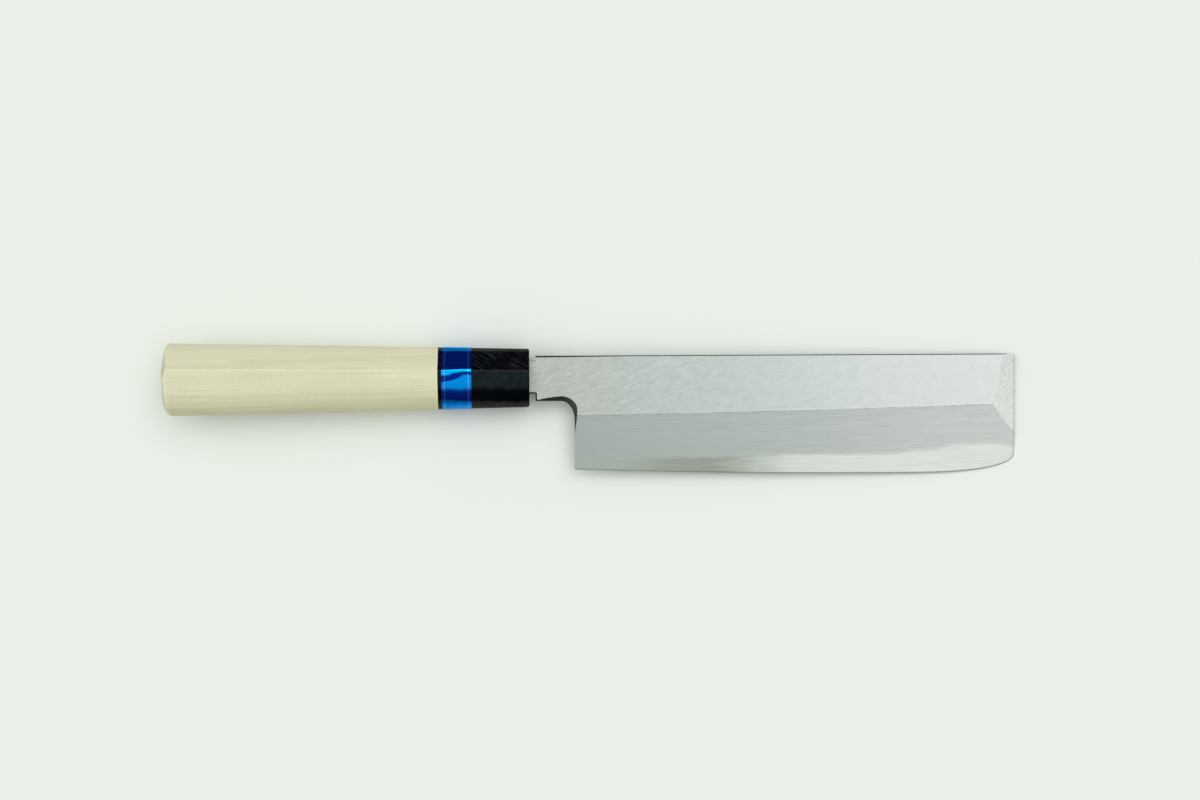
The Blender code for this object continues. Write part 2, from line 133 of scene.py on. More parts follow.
@dataclass(frozen=True)
class KnifeAxes:
    """Where the knife's own axes lie in the frame, worked out from the mount at the butt."""

    tilt: float
    origin: tuple[float, float, float]

    @classmethod
    def from_record(cls, record: dict, butt_x: float) -> "KnifeAxes":
        """Read the dip of the knife and its origin from the butt's mount.

        Args:
            record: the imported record.
            butt_x: the butt end's place on the knife's own X axis.

        Returns:
            The knife's axes.
        """
        butt = next(mount for mount in record["mounts"] if mount["name"] == "butt_end")
        tilt = math.atan2(butt["axis"][2], -butt["axis"][0])
        x, y, z = butt["pos_m"]
        return cls(tilt, (x - butt_x * math.cos(tilt), y, z + butt_x * math.sin(tilt)))

    def to_frame(self, points: np.ndarray) -> np.ndarray:
        """Turn points about Y by the dip, then move them to the knife's place.

        Args:
            points: an (n, 3) array in the knife's axes.

        Returns:
            The same points in the frame.
        """
        x, y, z = points.T
        cos, sin = math.cos(self.tilt), math.sin(self.tilt)
        return stack(x * cos + z * sin, y, z * cos - x * sin) + np.array(self.origin)


class Skin:
    """Patches of surface, each a grid of points or a flat cap, that are sewn into one closed mesh."""

    SEAM = 3e-7

    def __init__(self) -> None:
        """Start with no patches."""
        self.points: list[np.ndarray] = []
        self.faces: list[list[int]] = []
        self.finishes: list[int] = []
        self.count = 0

    def add(self, grid: np.ndarray, finish: int = 0, round_again: bool = False) -> None:
        """Add one patch, whose faces join each point to the next along both sides of the grid.

        Args:
            grid: an (n, m, 3) array of points.
            finish: number of the patch's finish on the piece.
            round_again: whether the last column joins the first.
        """
        rows, columns = grid.shape[:2]
        index = np.arange(rows * columns).reshape(rows, columns) + self.count
        if round_again:
            index = np.concatenate([index, index[:, :1]], axis=1)
        corners = [index[:-1, :-1], index[:-1, 1:], index[1:, 1:], index[1:, :-1]]
        self.keep(grid.reshape(-1, 3), np.stack(corners, axis=-1).reshape(-1, 4).tolist(), finish)

    def strip(self, *lines: np.ndarray, finish: int = 0) -> None:
        """Join lines of points, each to the next, point for point."""
        self.add(np.stack(lines), finish)

    def ring(self, *parts: np.ndarray) -> None:
        """Carry loops over one skin that ends on the loop where it begins."""
        self.add(np.concatenate([*parts, parts[0][:1]]), round_again=True)

    def cap(self, *lines: np.ndarray, finish: int = 0) -> None:
        """Close a flat opening with one face round its rim, which is made of lines in turn."""
        loop = np.concatenate(lines)
        self.keep(loop, [list(range(self.count, self.count + len(loop)))], finish)

    def keep(self, points: np.ndarray, faces: list[list[int]], finish: int) -> None:
        """Store one patch.

        Args:
            points: its points.
            faces: its faces, as numbers of points.
            finish: number of its finish on the piece.
        """
        self.points.append(points)
        self.faces.extend(faces)
        self.finishes.extend([finish] * len(faces))
        self.count += len(points)

    def mesh(self, name: str) -> bpy.types.Mesh:
        """Make the patches one mesh in the knife's axes: seams merged, and faces outwards.

        Args:
            name: the mesh's name.

        Returns:
            The mesh. Edges left open are logged.
        """
        mesh = bpy.data.meshes.new(name)
        mesh.from_pydata(np.concatenate(self.points), [], self.faces)
        mesh.polygons.foreach_set("material_index", np.array(self.finishes, np.int32))
        body = bmesh.new()
        body.from_mesh(mesh)
        bmesh.ops.remove_doubles(body, verts=body.verts, dist=self.SEAM)
        bmesh.ops.dissolve_degenerate(body, edges=body.edges, dist=self.SEAM)
        bmesh.ops.recalc_face_normals(body, faces=body.faces)
        open_edges = sum(not edge.is_manifold for edge in body.edges)
        if open_edges:
            log.warning("%s: %d open edges", name, open_edges)
        body.to_mesh(mesh)
        body.free()
        return mesh


# Writing materials


def feed(target: Socket, value: object) -> None:
    """Link a number or a node's output to an input, or set the input's own value.

    Args:
        target: the input.
        value: a number, an output, or a plain value. A colour's alpha is added.
    """
    value = getattr(value, "socket", value)
    if isinstance(value, Socket):
        target.id_data.links.new(value, target)
    else:
        target.default_value = (*value, 1.0) if target.type == "RGBA" else value


def add_node(tree: bpy.types.NodeTree, kind: str, inputs: dict | None = None,
             **settings: object) -> bpy.types.Node:
    """Add a node.

    Args:
        tree: the nodes that it joins.
        kind: the node's type, without its ShaderNode prefix.
        inputs: values, numbers or sockets for its inputs, by name or place.
        settings: properties of the node.

    Returns:
        The node.
    """
    made = tree.nodes.new("ShaderNode" + kind)
    for key, value in settings.items():
        setattr(made, key, value)
    for key, value in (inputs or {}).items():
        feed(made.inputs[key], value)
    return made


class Number:
    """A number in a tree of nodes. Plain arithmetic on it adds Math nodes."""

    def __init__(self, socket: Socket) -> None:
        """Keep the output that carries the number."""
        self.socket = socket

    def math(self, operation: str, other: object = 0.0, clamp: bool = False) -> "Number":
        """One step of arithmetic with another number."""
        tree, inputs = self.socket.id_data, {0: self, 1: other}
        return Number(add_node(tree, "Math", inputs, operation=operation, use_clamp=clamp).outputs[0])

    def __add__(self, other: object) -> "Number":
        """The sum."""
        return self.math("ADD", other)

    def __sub__(self, other: object) -> "Number":
        """The difference."""
        return self.math("SUBTRACT", other)

    def __rsub__(self, other: float) -> "Number":
        """A plain number less this one."""
        return self * -1.0 + other

    def __mul__(self, other: object) -> "Number":
        """The product."""
        return self.math("MULTIPLY", other)

    def __abs__(self) -> "Number":
        """The distance from zero."""
        return self.math("ABSOLUTE")

    def held(self) -> "Number":
        """The number, kept from 0 to 1."""
        return self.math("ADD", clamp=True)

    def mapped(self, *ends: object, **settings: object) -> "Number":
        """The number, carried from one range to another.

        Args:
            ends: the first range's low and high end, then the second's.
            settings: properties of the node.

        Returns:
            The number in the second range.
        """
        names = "Value", "From Min", "From Max", "To Min", "To Max"
        made = add_node(self.socket.id_data, "MapRange", dict(zip(names, (self, *ends))), **settings)
        return Number(made.outputs["Result"])

    def ramp(self, low: object, high: object, start: object = 0.0, end: object = 1.0) -> "Number":
        """A smooth step from start to end while the number goes from low to high."""
        return self.mapped(low, high, start, end, interpolation_type="SMOOTHSTEP")

    def spread(self, low: float, high: float) -> "Number":
        """Noise, which mostly lies from 0.3 to 0.7, spread evenly from low to high."""
        return self.mapped(0.3, 0.7, low, high, clamp=False)


class Graph:
    """The nodes of one material, with its patterns in the knife's axes."""

    def __init__(self, name: str, axes: KnifeAxes) -> None:
        """Start a material with one Principled shader, and turn Object coordinates into knife axes.

        Args:
            name: the material's name.
            axes: where the knife lies.
        """
        self.material = bpy.data.materials.new(name)
        self.material.use_nodes = True
        self.tree = self.material.node_tree
        self.shader = self.tree.nodes["Principled BSDF"]
        where = add_node(self.tree, "TexCoord").outputs["Object"]
        inputs = {"Vector": where, "Location": axes.origin, "Rotation": (0.0, axes.tilt, 0.0)}
        self.place = add_node(self.tree, "Mapping", inputs, vector_type="TEXTURE").outputs["Vector"]
        parts = add_node(self.tree, "SeparateXYZ", {0: self.place}).outputs
        self.x, self.y, self.z = (Number(part) for part in parts)

    def note(self, name: str) -> Number:
        """A number kept on the piece's points."""
        return Number(add_node(self.tree, "Attribute", attribute_name=name).outputs["Fac"])

    def noise(self, vector: Socket, size: float, detail: float, wobble: float = 0.0) -> Number:
        """Noise of a size over a vector, a number round one half."""
        inputs = {"Vector": vector, "Scale": 1 / size, "Detail": detail, "Distortion": wobble}
        return Number(add_node(self.tree, "TexNoise", inputs).outputs["Fac"])

    def speckle(self, size: float, detail: float = 3.0) -> Number:
        """Noise of one size in all directions."""
        return self.noise(self.place, size, detail)

    def grain(self, turn: float, along: float, across: float, detail: float = 3.0, wobble: float = 0.0,
              through: float | None = None) -> Number:
        """Noise drawn out into streaks that lie in the plane of the blade.

        Args:
            turn: the streaks' direction in degrees, from the knife's X axis towards its spine.
            along: the length of a streak in metres.
            across: its width in metres.
            detail: the noise's octaves.
            wobble: how much the streaks wander.
            through: how far a streak reaches through the piece, if not as far as across.

        Returns:
            A number round one half.
        """
        inputs = {"Vector": self.place, "Angle": math.radians(-turn)}
        turned = add_node(self.tree, "VectorRotate", inputs, rotation_type="Z_AXIS").outputs[0]
        inputs = {0: turned, 1: (1 / along, 1 / across, 1 / (through or across))}
        drawn = add_node(self.tree, "VectorMath", inputs, operation="MULTIPLY").outputs[0]
        return self.noise(drawn, 1.0, detail, wobble)

    def flakes(self, size: float) -> Number:
        """Distance to the nearest of scattered points, in units of the size between them."""
        inputs = {"Vector": self.place, "Scale": 1 / size}
        return Number(add_node(self.tree, "TexVoronoi", inputs, feature="F1").outputs["Distance"])

    def blend(self, share: object, first: object, second: object, kind: str = "MIX") -> Socket:
        """A mix of two colours."""
        inputs = {0: share, 6: first, 7: second}
        return add_node(self.tree, "Mix", inputs, data_type="RGBA", blend_type=kind).outputs[2]

    def shade(self, colour: object, amount: Number) -> Socket:
        """A colour made lighter or darker by a factor."""
        grey = add_node(self.tree, "CombineColor", {0: amount, 1: amount, 2: amount}).outputs[0]
        return self.blend(1.0, colour, grey, "MULTIPLY")

    def relief(self, height: Number, depth: float) -> None:
        """Raise the surface by a height from 0 to 1 times a depth in metres, as a bump."""
        inputs = {"Strength": 1.0, "Distance": depth, "Height": height}
        feed(self.shader.inputs["Normal"], add_node(self.tree, "Bump", inputs).outputs["Normal"])

    def finish(self, colour: object, roughness: Number, **constants: float) -> None:
        """Feed the shader.

        Args:
            colour: the base colour.
            roughness: the roughness.
            constants: numbers for the shader's own sockets, with underscores for the spaces.
        """
        feed(self.shader.inputs["Base Color"], colour)
        feed(self.shader.inputs["Roughness"], roughness)
        for name, number in constants.items():
            feed(self.shader.inputs[name.replace("_", " ")], number)


# Finishes


@dataclass(frozen=True)
class Finish:
    """A finish, whose fields are its colours and roughness, and whose paint() draws it."""

    def paint(self, g: Graph) -> None:
        """Draw the finish with a material's nodes."""
        raise NotImplementedError

    def material(self, name: str, axes: KnifeAxes) -> bpy.types.Material:
        """The material of a name: one that is there already, or a new one.

        Args:
            name: the material's name.
            axes: where the knife lies.

        Returns:
            The material.
        """
        known = bpy.data.materials.get(name)
        if known:
            return known
        graph = Graph(name, axes)
        self.paint(graph)
        return graph.material


@dataclass(frozen=True)
class GroundSteel(Finish):
    """Steel as the stone leaves it: slanted scratches on the flat, level streaks on the bevel."""

    # The flat's and bevel's lightening towards the tip is partly the steel's tone and partly painted
    # reflection
    face_at_neck: Colour = (0.435, 0.471, 0.433)
    face: Colour = (0.437, 0.488, 0.467)
    face_at_tip: Colour = (0.484, 0.519, 0.500)
    bevel: Colour = (0.396, 0.443, 0.420)
    bevel_at_tip: Colour = (0.437, 0.463, 0.444)
    core_heel: Colour = (0.395, 0.446, 0.397)
    core_dull: Colour = (0.309, 0.337, 0.292)
    core_bright: Colour = (0.585, 0.631, 0.577)
    facet: Colour = (0.520, 0.562, 0.528)
    roughness: Range = (0.30, 0.38)
    scratch_depth: float = 3e-6

    def paint(self, g: Graph) -> None:
        """Draw the flat, its dark marks, the bevel, the hard steel's border and the facet, in that order.

        Args:
            g: the material's nodes. The notes bevel, core, edge and facet are in millimetres.
        """
        x, y, bevel = g.x, g.y, g.note("bevel")
        on_bevel = bevel.ramp(-0.04, 0.04)
        off_bevel = 1 - on_bevel
        scratch = g.grain(20, 0.0040, 0.00038, 2, 0.7)
        level = g.grain(0, 0.010, 0.00036, 3, 0.3)

        # The flat: slanted strokes and hairlines, stronger at the neck, and a painted highlight just above
        # the bevel line
        strength = x.ramp(-0.016, 0.006, 1.35, 1.0) * x.ramp(0.0, 0.080, 1.0, 0.56)
        stroke = g.grain(22, 0.010, 0.0009, 3, 1.2).spread(-0.012, 0.012)
        hairline = g.grain(17, 0.0060, 0.00042, 1, 0.5).ramp(0.63, 0.71, 0.0, 0.09)
        cloud = g.speckle(0.0035).spread(0.978, 1.022)
        # Painted highlight: a paler band on the flat just above the bevel line
        shinogi_highlight = bevel.ramp(-0.7, -0.25, 0.0, 0.07)
        # The flat lightens from the neck to the tip: partly the steel's own tone, partly a painted reflection
        # of the brighter light seen there
        flat = g.blend(x.ramp(-0.012, 0.050), self.face_at_neck, self.face)
        flat = g.blend(x.ramp(0.050, 0.130), flat, self.face_at_tip)
        marks = scratch.spread(-0.13, 0.13) + stroke - hairline
        flat = g.shade(flat, cloud + marks * strength + shinogi_highlight)

        # Dark marks: nicks along the bevel line and scores under it; along the neck's spine, a painted dark
        # reflection that widens the spine chamfer's dark line
        nick = g.grain(0, 0.0040, 0.004).ramp(0.50, 0.60) * abs(bevel - 0.15).ramp(0.10, 0.32, 0.20, 0.0)
        score = level.ramp(0.54, 0.66, 0.0, 0.13) * bevel.ramp(0.2, 2.0, 1.0, 0.0)
        score = score * x.ramp(0.085, 0.110, 1.0, 1.6) * on_bevel
        # Painted dark reflection: a strip of the flat under the neck's spine, narrowing to nothing along the
        # blade
        painted_spine_reflection = (y - x.ramp(-0.0144, 0.030, 0.00752, 0.00790)).ramp(-6e-5, 6e-5, 0.0, 0.65)
        dark = (nick + score + painted_spine_reflection).held()

        # The bevel: level grinding lines, and a paler halo above the hard steel's wavy border
        cut = g.grain(0.5, 0.012, 0.00036, 1, 0.3).ramp(0.62, 0.70, 0.0, 0.09)
        lines = (level.spread(-0.13, 0.13) - cut) * bevel.ramp(0.3, 5.0, 1.0, 0.5)
        lines = lines * x.ramp(0.02, 0.06, 0.7, 1.0)
        broad = g.grain(0, 0.060, 0.0016, 3, 0.1).spread(0.985, 1.015)
        wavy = g.note("core") + g.grain(0, 0.008, 0.004).spread(-0.32, 0.32)
        bright = (x + level.spread(-0.003, 0.003)).ramp(0.048, 0.086)
        halo = wavy.ramp(-1.6, -0.3, 0.0, 0.10) * wavy.ramp(-0.3, 0.1, 1.0, 0.0) * bright + 1.0
        # The bevel lightens towards the tip the same way: partly tone, partly painted reflection
        ground = g.blend(x.ramp(0.060, 0.140), self.bevel, self.bevel_at_tip)
        ground = g.shade(ground, (broad + lines) * halo)

        # The hard steel: soft-edged and dull near the heel, bright further on, with painted shade along the
        # very edge
        soft = x.ramp(0.0, 0.080, 1.35, 0.36)
        on_core = wavy.ramp(soft * -1.0, soft)
        dull = g.blend(x.ramp(0.010, 0.045), self.core_heel, self.core_dull)
        # Painted shade: darker towards the edge, standing for the shadow that lies along it
        edge = g.note("edge").ramp(0.20, 0.62, x.ramp(0.048, 0.080, 0.66, 0.40), 1.0)
        tone = level.spread(0.93, 1.07) * edge * x.ramp(0.120, 0.155, 1.0, 0.93)
        core = g.shade(g.blend(bright, dull, self.core_bright), tone)
        colour = g.shade(g.blend(on_bevel, flat, g.blend(on_core, ground, core)), 1 - dark)

        # The facet across the tip: mottled, and ragged where it meets the flat
        ragged = g.speckle(0.0009, 4).spread(-0.22, 0.22) * off_bevel
        on_facet = (g.note("facet") + ragged).ramp(-0.06, 0.06)
        mottle = g.speckle(0.0008, 4).spread(0.90, 1.10) * g.flakes(0.0007).ramp(0.1, 0.7, 1.06, 0.94)
        facet = g.shade(self.facet, mottle * y.ramp(-0.010, 0.007, 1.03, 0.96))

        g.relief(scratch * off_bevel + level * (1 - on_core * 0.7) * on_bevel, self.scratch_depth)
        g.finish(g.blend(on_facet, colour, facet), scratch.spread(*self.roughness), Metallic=1.0)


@dataclass(frozen=True)
class StonedBack(Finish):
    """Steel of the back, with long level scratches from the stone on its rims and in its hollow."""

    colour: Colour = (0.500, 0.545, 0.515)
    roughness: Range = (0.23, 0.31)
    scratch_depth: float = 3e-6

    def paint(self, g: Graph) -> None:
        """Draw fine scratches over broader clouds.

        Args:
            g: the material's nodes.
        """
        scratch = g.grain(3, 0.040, 0.00025, 4, 0.1)
        cloud = g.grain(0, 0.030, 0.0030, 3, 0.3)
        g.relief(scratch, self.scratch_depth)
        colour = g.shade(self.colour, scratch.spread(0.93, 1.07) * cloud.spread(0.95, 1.05))
        g.finish(colour, scratch.spread(*self.roughness), Metallic=1.0)


@dataclass(frozen=True)
class PaintedDarkReflection(Finish):
    """Steel painted dark on the choil's chamfer and along the spine's edge: a painted dark reflection of the
    surroundings, with file marks.
    """

    colour: Colour = (0.055, 0.062, 0.058)
    roughness: Range = (0.36, 0.50)
    file_depth: float = 6e-6

    def paint(self, g: Graph) -> None:
        """Draw upright file marks on worn, painted dark, made darker still along the spine and on the neck.

        Args:
            g: the material's nodes.
        """
        worn, file = g.speckle(0.0006, 4), g.grain(90, 0.003, 0.0003)
        # More painted dark reflection along the spine and on the neck
        place = g.y.ramp(-0.005, 0.005, 1.0, 0.30) * g.x.ramp(-0.006, -0.001, 0.45, 1.0)
        g.relief(file, self.file_depth)
        colour = g.shade(self.colour, worn.spread(0.7, 1.4) * file.spread(0.8, 1.2) * place)
        g.finish(colour, worn.spread(*self.roughness), Metallic=0.85)


@dataclass(frozen=True)
class Magnolia(Finish):
    """Pale, straight-grained wood, sanded and left bare, from its butt to its rim at the ferrule's rear."""

    butt: float
    rear: float
    pale: Colour = (0.735, 0.733, 0.512)
    # low is a shaded copy of pale: painted shade for the handle's lower side
    low: Colour = (0.735, 0.733, 0.470)
    line: Colour = (0.560, 0.520, 0.330)
    # end is the darker end grain; on the butt's rounding it also carries painted shade
    end: Colour = (0.500, 0.510, 0.360)
    roughness: Range = (0.57, 0.67)
    pore_depth: float = 2.5e-5

    def paint(self, g: Graph) -> None:
        """Draw the rings and flecks, the painted shade and ridge highlight on the facets, the pores, and the
        end grain with a painted shade rim.

        Args:
            g: the material's nodes. The note ridge is the height above the ridge line in millimetres.
        """
        height, along = g.note("ridge"), g.x - self.butt
        fine = g.grain(0.4, 0.040, 0.00042, 4, 0.1)
        streaky = fine.spread(0.93, 1.07)
        pores = g.grain(0, 0.0022, 0.00016, 2).ramp(0.66, 0.74)
        crease = height - g.x.ramp(self.butt, self.rear, -14.3, -10.3)

        rings = g.grain(0.6, 0.160, 0.0018, 2, 0.25).ramp(0.50, 0.64, 0.0, 0.50) * fine.ramp(0.40, 0.68)
        # Painted shade: below the crease the wood takes the darker, yellower colour low
        colour = g.blend(rings, g.blend(crease.ramp(-3.0, 8.0), self.low, self.pale), self.line)
        flecks = g.grain(78, 0.0016, 0.00055, 2).spread(0.970, 1.030)
        tone = streaky * g.speckle(0.018, 2).spread(0.98, 1.02) * flecks
        # Painted shade: the upper facet darker past the ridge and again near its top edge, the lower side
        # darker from the crease down; crest is a painted highlight along the ridge
        upper = height.ramp(-0.15, 0.15, 1.0, 0.86) * height.ramp(6.0, 9.3, 1.0, 0.90)
        lower = crease.ramp(-0.4, 0.4, 0.91, 1.0) * crease.ramp(0.0, 7.5, 0.93, 1.02)
        crest = abs(height + 0.15).ramp(0.0, 0.35, 0.03, 0.0)
        sawn = (g.x - self.rear).ramp(-0.0007, -0.0003, 0.0, 0.07)
        colour = g.shade(colour, tone * upper * lower + crest + sawn)
        colour = g.blend(pores * 0.25, colour, self.line)

        # The end grain is darker; its lens-shaped patch, widest at the ridge, is partly painted shade on the
        # butt's rounding
        lens = height.ramp(-4.5, 0.4, 0.0003, 0.0024).math("MINIMUM", height.ramp(0.4, 8.0, 0.0024, 0.0003))
        end_grain_and_shade = (along - lens).ramp(-0.0001, 0.0001, 1.0, 0.0)
        colour = g.blend(end_grain_and_shade, colour, g.shade(self.end, streaky))
        # Painted shade: a dark rim on the lower part of the butt's rounding
        rim = along.ramp(0.0, 0.0005) * along.ramp(0.0006, 0.0013, 0.45, 0.0)
        rim = rim * height.ramp(-9.0, 3.0, 1.0, 0.0)
        g.relief(fine - pores * 0.5, self.pore_depth)
        g.finish(g.shade(colour, 1 - rim), fine.spread(*self.roughness), Specular_IOR_Level=0.35)


@dataclass(frozen=True)
class BuffaloHorn(Finish):
    """Black horn, with a painted reflection on the lower facet and slanting sanding scratches on the upper
    one.

    The front is where the ferrule ends on the X axis. The horn stays plain there.
    """

    front: float
    colour: Colour = (0.0005, 0.0010, 0.0018)
    # smooth is the lower facet's painted reflection of the light from above
    smooth: Colour = (0.0092, 0.0160, 0.0180)
    worn: Colour = (0.0270, 0.0285, 0.0245)
    scratched: Colour = (0.0220, 0.0260, 0.0290)
    top_edge_colour: Colour = (0.0420, 0.0420, 0.0360)
    ridge_highlight: Colour = (0.0300, 0.0340, 0.0420)
    roughness: Range = (0.22, 0.30)
    scratch_depth: float = 5e-6

    def paint(self, g: Graph) -> None:
        """Draw the lower facet's painted reflection, lighter bands along both edges, the scratches and a
        painted highlight along the ridge.

        Args:
            g: the material's nodes. The note ridge is the height above the ridge line in millimetres.
        """
        height, fibre = g.note("ridge"), g.grain(0, 0.02, 0.0004)
        scratch = g.grain(-31, 0.0060, 0.00036, 3, 0.4, through=0.006).ramp(0.50, 0.68)
        marks = scratch * height.ramp(-0.2, 0.2, 0.08, 0.90)
        uneven = height + g.speckle(0.002, 4).spread(-0.35, 0.35)
        patch = g.speckle(0.0025).spread(0.6, 1.1)
        # Painted reflection: the lower facet, down to 6 or 7 mm below the ridge, takes the cloudy lighter
        # colour smooth
        painted_reflection_share = uneven.ramp(-7.6, -5.6) * height.ramp(-0.25, 0.0, 1.0, 0.0)
        painted_reflection_share = painted_reflection_share * (g.x - self.front).ramp(-0.0006, -0.0002, 1.0, 0.0)
        smooth = g.shade(self.smooth, g.speckle(0.0030, 4).spread(0.70, 1.30))
        colour = g.blend(painted_reflection_share, self.colour, smooth)
        # Lighter patches along the bottom edge, then along the top edge
        colour = g.blend(uneven.ramp(-12.2, -10.8, 1.0, 0.0) * patch, colour, self.worn)
        colour = g.blend(height.ramp(7.0, 7.5) * patch, colour, self.top_edge_colour)
        colour = g.blend(marks, g.shade(colour, fibre.spread(0.75, 1.25)), self.scratched)
        # Painted highlight: a thin pale line along the ridge on the front side
        line = abs(height).ramp(0.08, 0.26, 1.0, 0.0) * g.z.ramp(0.0, 0.004)
        line = line * g.grain(0, 0.004, 0.002, 2).spread(0.5, 0.9)
        g.relief(fibre - marks * 0.8, self.scratch_depth)
        rough = fibre.spread(*self.roughness) + height.ramp(-0.2, 0.2, 0.0, 0.06)
        g.finish(g.blend(line, colour, self.ridge_highlight), rough, Specular_IOR_Level=0.02)


@dataclass(frozen=True)
class BlueFoil(Finish):
    """Thin blue metal foil pressed round the horn, with painted reflections in bright and dark strips, and a
    pale line near each border.

    The band's borders are places on the X axis. A pale line's middle lies an inset away from them. A strip of
    painted reflection has a border at a height above the ridge in millimetres, at the rear and at the front.
    """

    rear: float
    front: float
    line_inset: float
    line_width: float
    colour: Colour = (0.001, 0.30, 0.88)
    # The dark blue of the bands and the bright glint on the crest are painted reflection colours
    dark_reflection: Colour = (0.002, 0.018, 0.24)
    glint: Colour = (0.001, 0.46, 1.0)
    line: Colour = (0.36, 0.66, 0.85)
    top_strip_border: float = 7.2
    crest: Range = (0.0, 0.6)
    glint_lower_border: Range = (-1.7, -0.25)
    wedge: Range = (-4.4, -1.6)
    middle_strip_border: Range = (-7.1, -7.0)
    bottom_strip_border: Range = (-10.8, -11.0)
    line_blur: float = 4e-5
    roughness: Range = (0.17, 0.25)
    wrinkle_depth: float = 6e-5

    def paint(self, g: Graph) -> None:
        """Draw bright strips of painted reflection between their borders, with a painted glint on the crest,
        then the two pale lines.

        Args:
            g: the material's nodes. The note ridge is the height above the ridge line in millimetres.
        """
        wrinkle, fine = g.grain(2, 0.010, 0.0011, 3, 0.5), g.grain(0, 0.006, 0.0002, 2)
        height = g.note("ridge")
        wander = height + g.grain(4, 0.006, 0.003, 2).spread(-0.35, 0.35)

        def above(value: Number, border: tuple[float, float], soft: float, *ends: float) -> Number:
            """A smooth step across a strip's border, from the value under it to the value over it."""
            return (value - g.x.ramp(self.rear, self.front, *border)).ramp(-soft, soft, *ends)

        # Painted reflection: bright strips on the crest (the glint), in the middle, at the top corner and
        # along the bottom, with a dark wedge between the glint and the middle strip
        crest = above(wander, self.glint_lower_border, 0.35) - above(height, self.crest, 0.1)
        middle = above(wander, self.middle_strip_border, 1.0) - above(wander, self.wedge, 0.45)
        top = height.ramp(self.top_strip_border - 0.3, self.top_strip_border + 0.3)
        low = above(wander, self.bottom_strip_border, 0.4, 0.70, 0.0)
        reflection_share = ((crest + middle + top + low) * wrinkle.spread(0.80, 1.15)).held()
        reflection_share = (reflection_share + g.speckle(0.0005).spread(-0.02, 0.04)).held()
        colour = g.blend(crest, g.blend(reflection_share, self.dark_reflection, self.colour), self.glint)

        half = self.line_width / 2
        off_middle = abs(g.x - (self.rear + self.front) / 2)
        off_line = abs(off_middle - ((self.front - self.rear) / 2 - self.line_inset))
        printed = off_line.ramp(half - self.line_blur, half + self.line_blur, 1.0, 0.0)
        colour = g.blend(printed * (reflection_share * 0.22 + 0.16), colour, self.line)
        g.relief(wrinkle + fine * 0.15, self.wrinkle_depth)
        g.finish(colour, fine.spread(*self.roughness), Metallic=1.0)


@dataclass(frozen=True)
class Resin(Finish):
    """Dark pitch poured into the ferrule's mouth."""

    colour: Colour = (0.030, 0.020, 0.012)
    roughness: Range = (0.35, 0.55)
    lump_depth: float = 8e-5

    def paint(self, g: Graph) -> None:
        """Draw lumps.

        Args:
            g: the material's nodes.
        """
        lumps = g.speckle(0.0007, 4)
        g.relief(lumps, self.lump_depth)
        g.finish(g.shade(self.colour, lumps.spread(0.6, 1.5)), lumps.spread(*self.roughness))


# Pieces


class Piece:
    """One piece of the knife, which stands for one node of the frame."""

    node: ClassVar[str]
    slot: ClassVar[Slot]
    sharp_degrees: ClassVar[float] = 30.0

    def skin(self) -> Skin:
        """The piece's patches, in the knife's axes."""
        raise NotImplementedError

    def finishes(self) -> dict[str, Finish]:
        """Finishes by their materials' names, in the order of the numbers that the patches give."""
        raise NotImplementedError

    def notes(self, x: np.ndarray, y: np.ndarray) -> dict[str, np.ndarray]:
        """Numbers that the finishes read, for points at x and y, by name."""
        return self.form.notes(x, y)

    def build(self, axes: KnifeAxes) -> bpy.types.Object:
        """Sew the skin, keep its notes, and lay it down in the frame, smooth but for real creases.

        Args:
            axes: where the knife lies.

        Returns:
            The piece.
        """
        mesh = self.skin().mesh(self.node + "_look")
        flat = np.empty(len(mesh.vertices) * 3, np.float32)
        mesh.vertices.foreach_get("co", flat)
        points = flat.reshape(-1, 3)
        for name, values in self.notes(*points.T[:2].astype(float)).items():
            mesh.attributes.new(name, "FLOAT", "POINT").data.foreach_set("value", values.astype(np.float32))
        mesh.vertices.foreach_set("co", axes.to_frame(points).astype(np.float32).ravel())
        mesh.shade_smooth()
        mesh.set_sharp_from_angle(angle=math.radians(self.sharp_degrees))
        piece = bpy.data.objects.new(mesh.name, mesh)
        bpy.context.scene.collection.objects.link(piece)
        return piece

    def dress(self, piece: bpy.types.Object, axes: KnifeAxes) -> None:
        """Finish a piece, ride it on the knife, let it stand for its node, and log it.

        Args:
            piece: the built piece.
            axes: where the knife lies.
        """
        for name, finish in self.finishes().items():
            piece.data.materials.append(finish.material(name, axes))
        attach(piece, "root")
        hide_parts(self.node)
        log.info("%s: %d faces", piece.name, len(piece.data.polygons))


# The blade


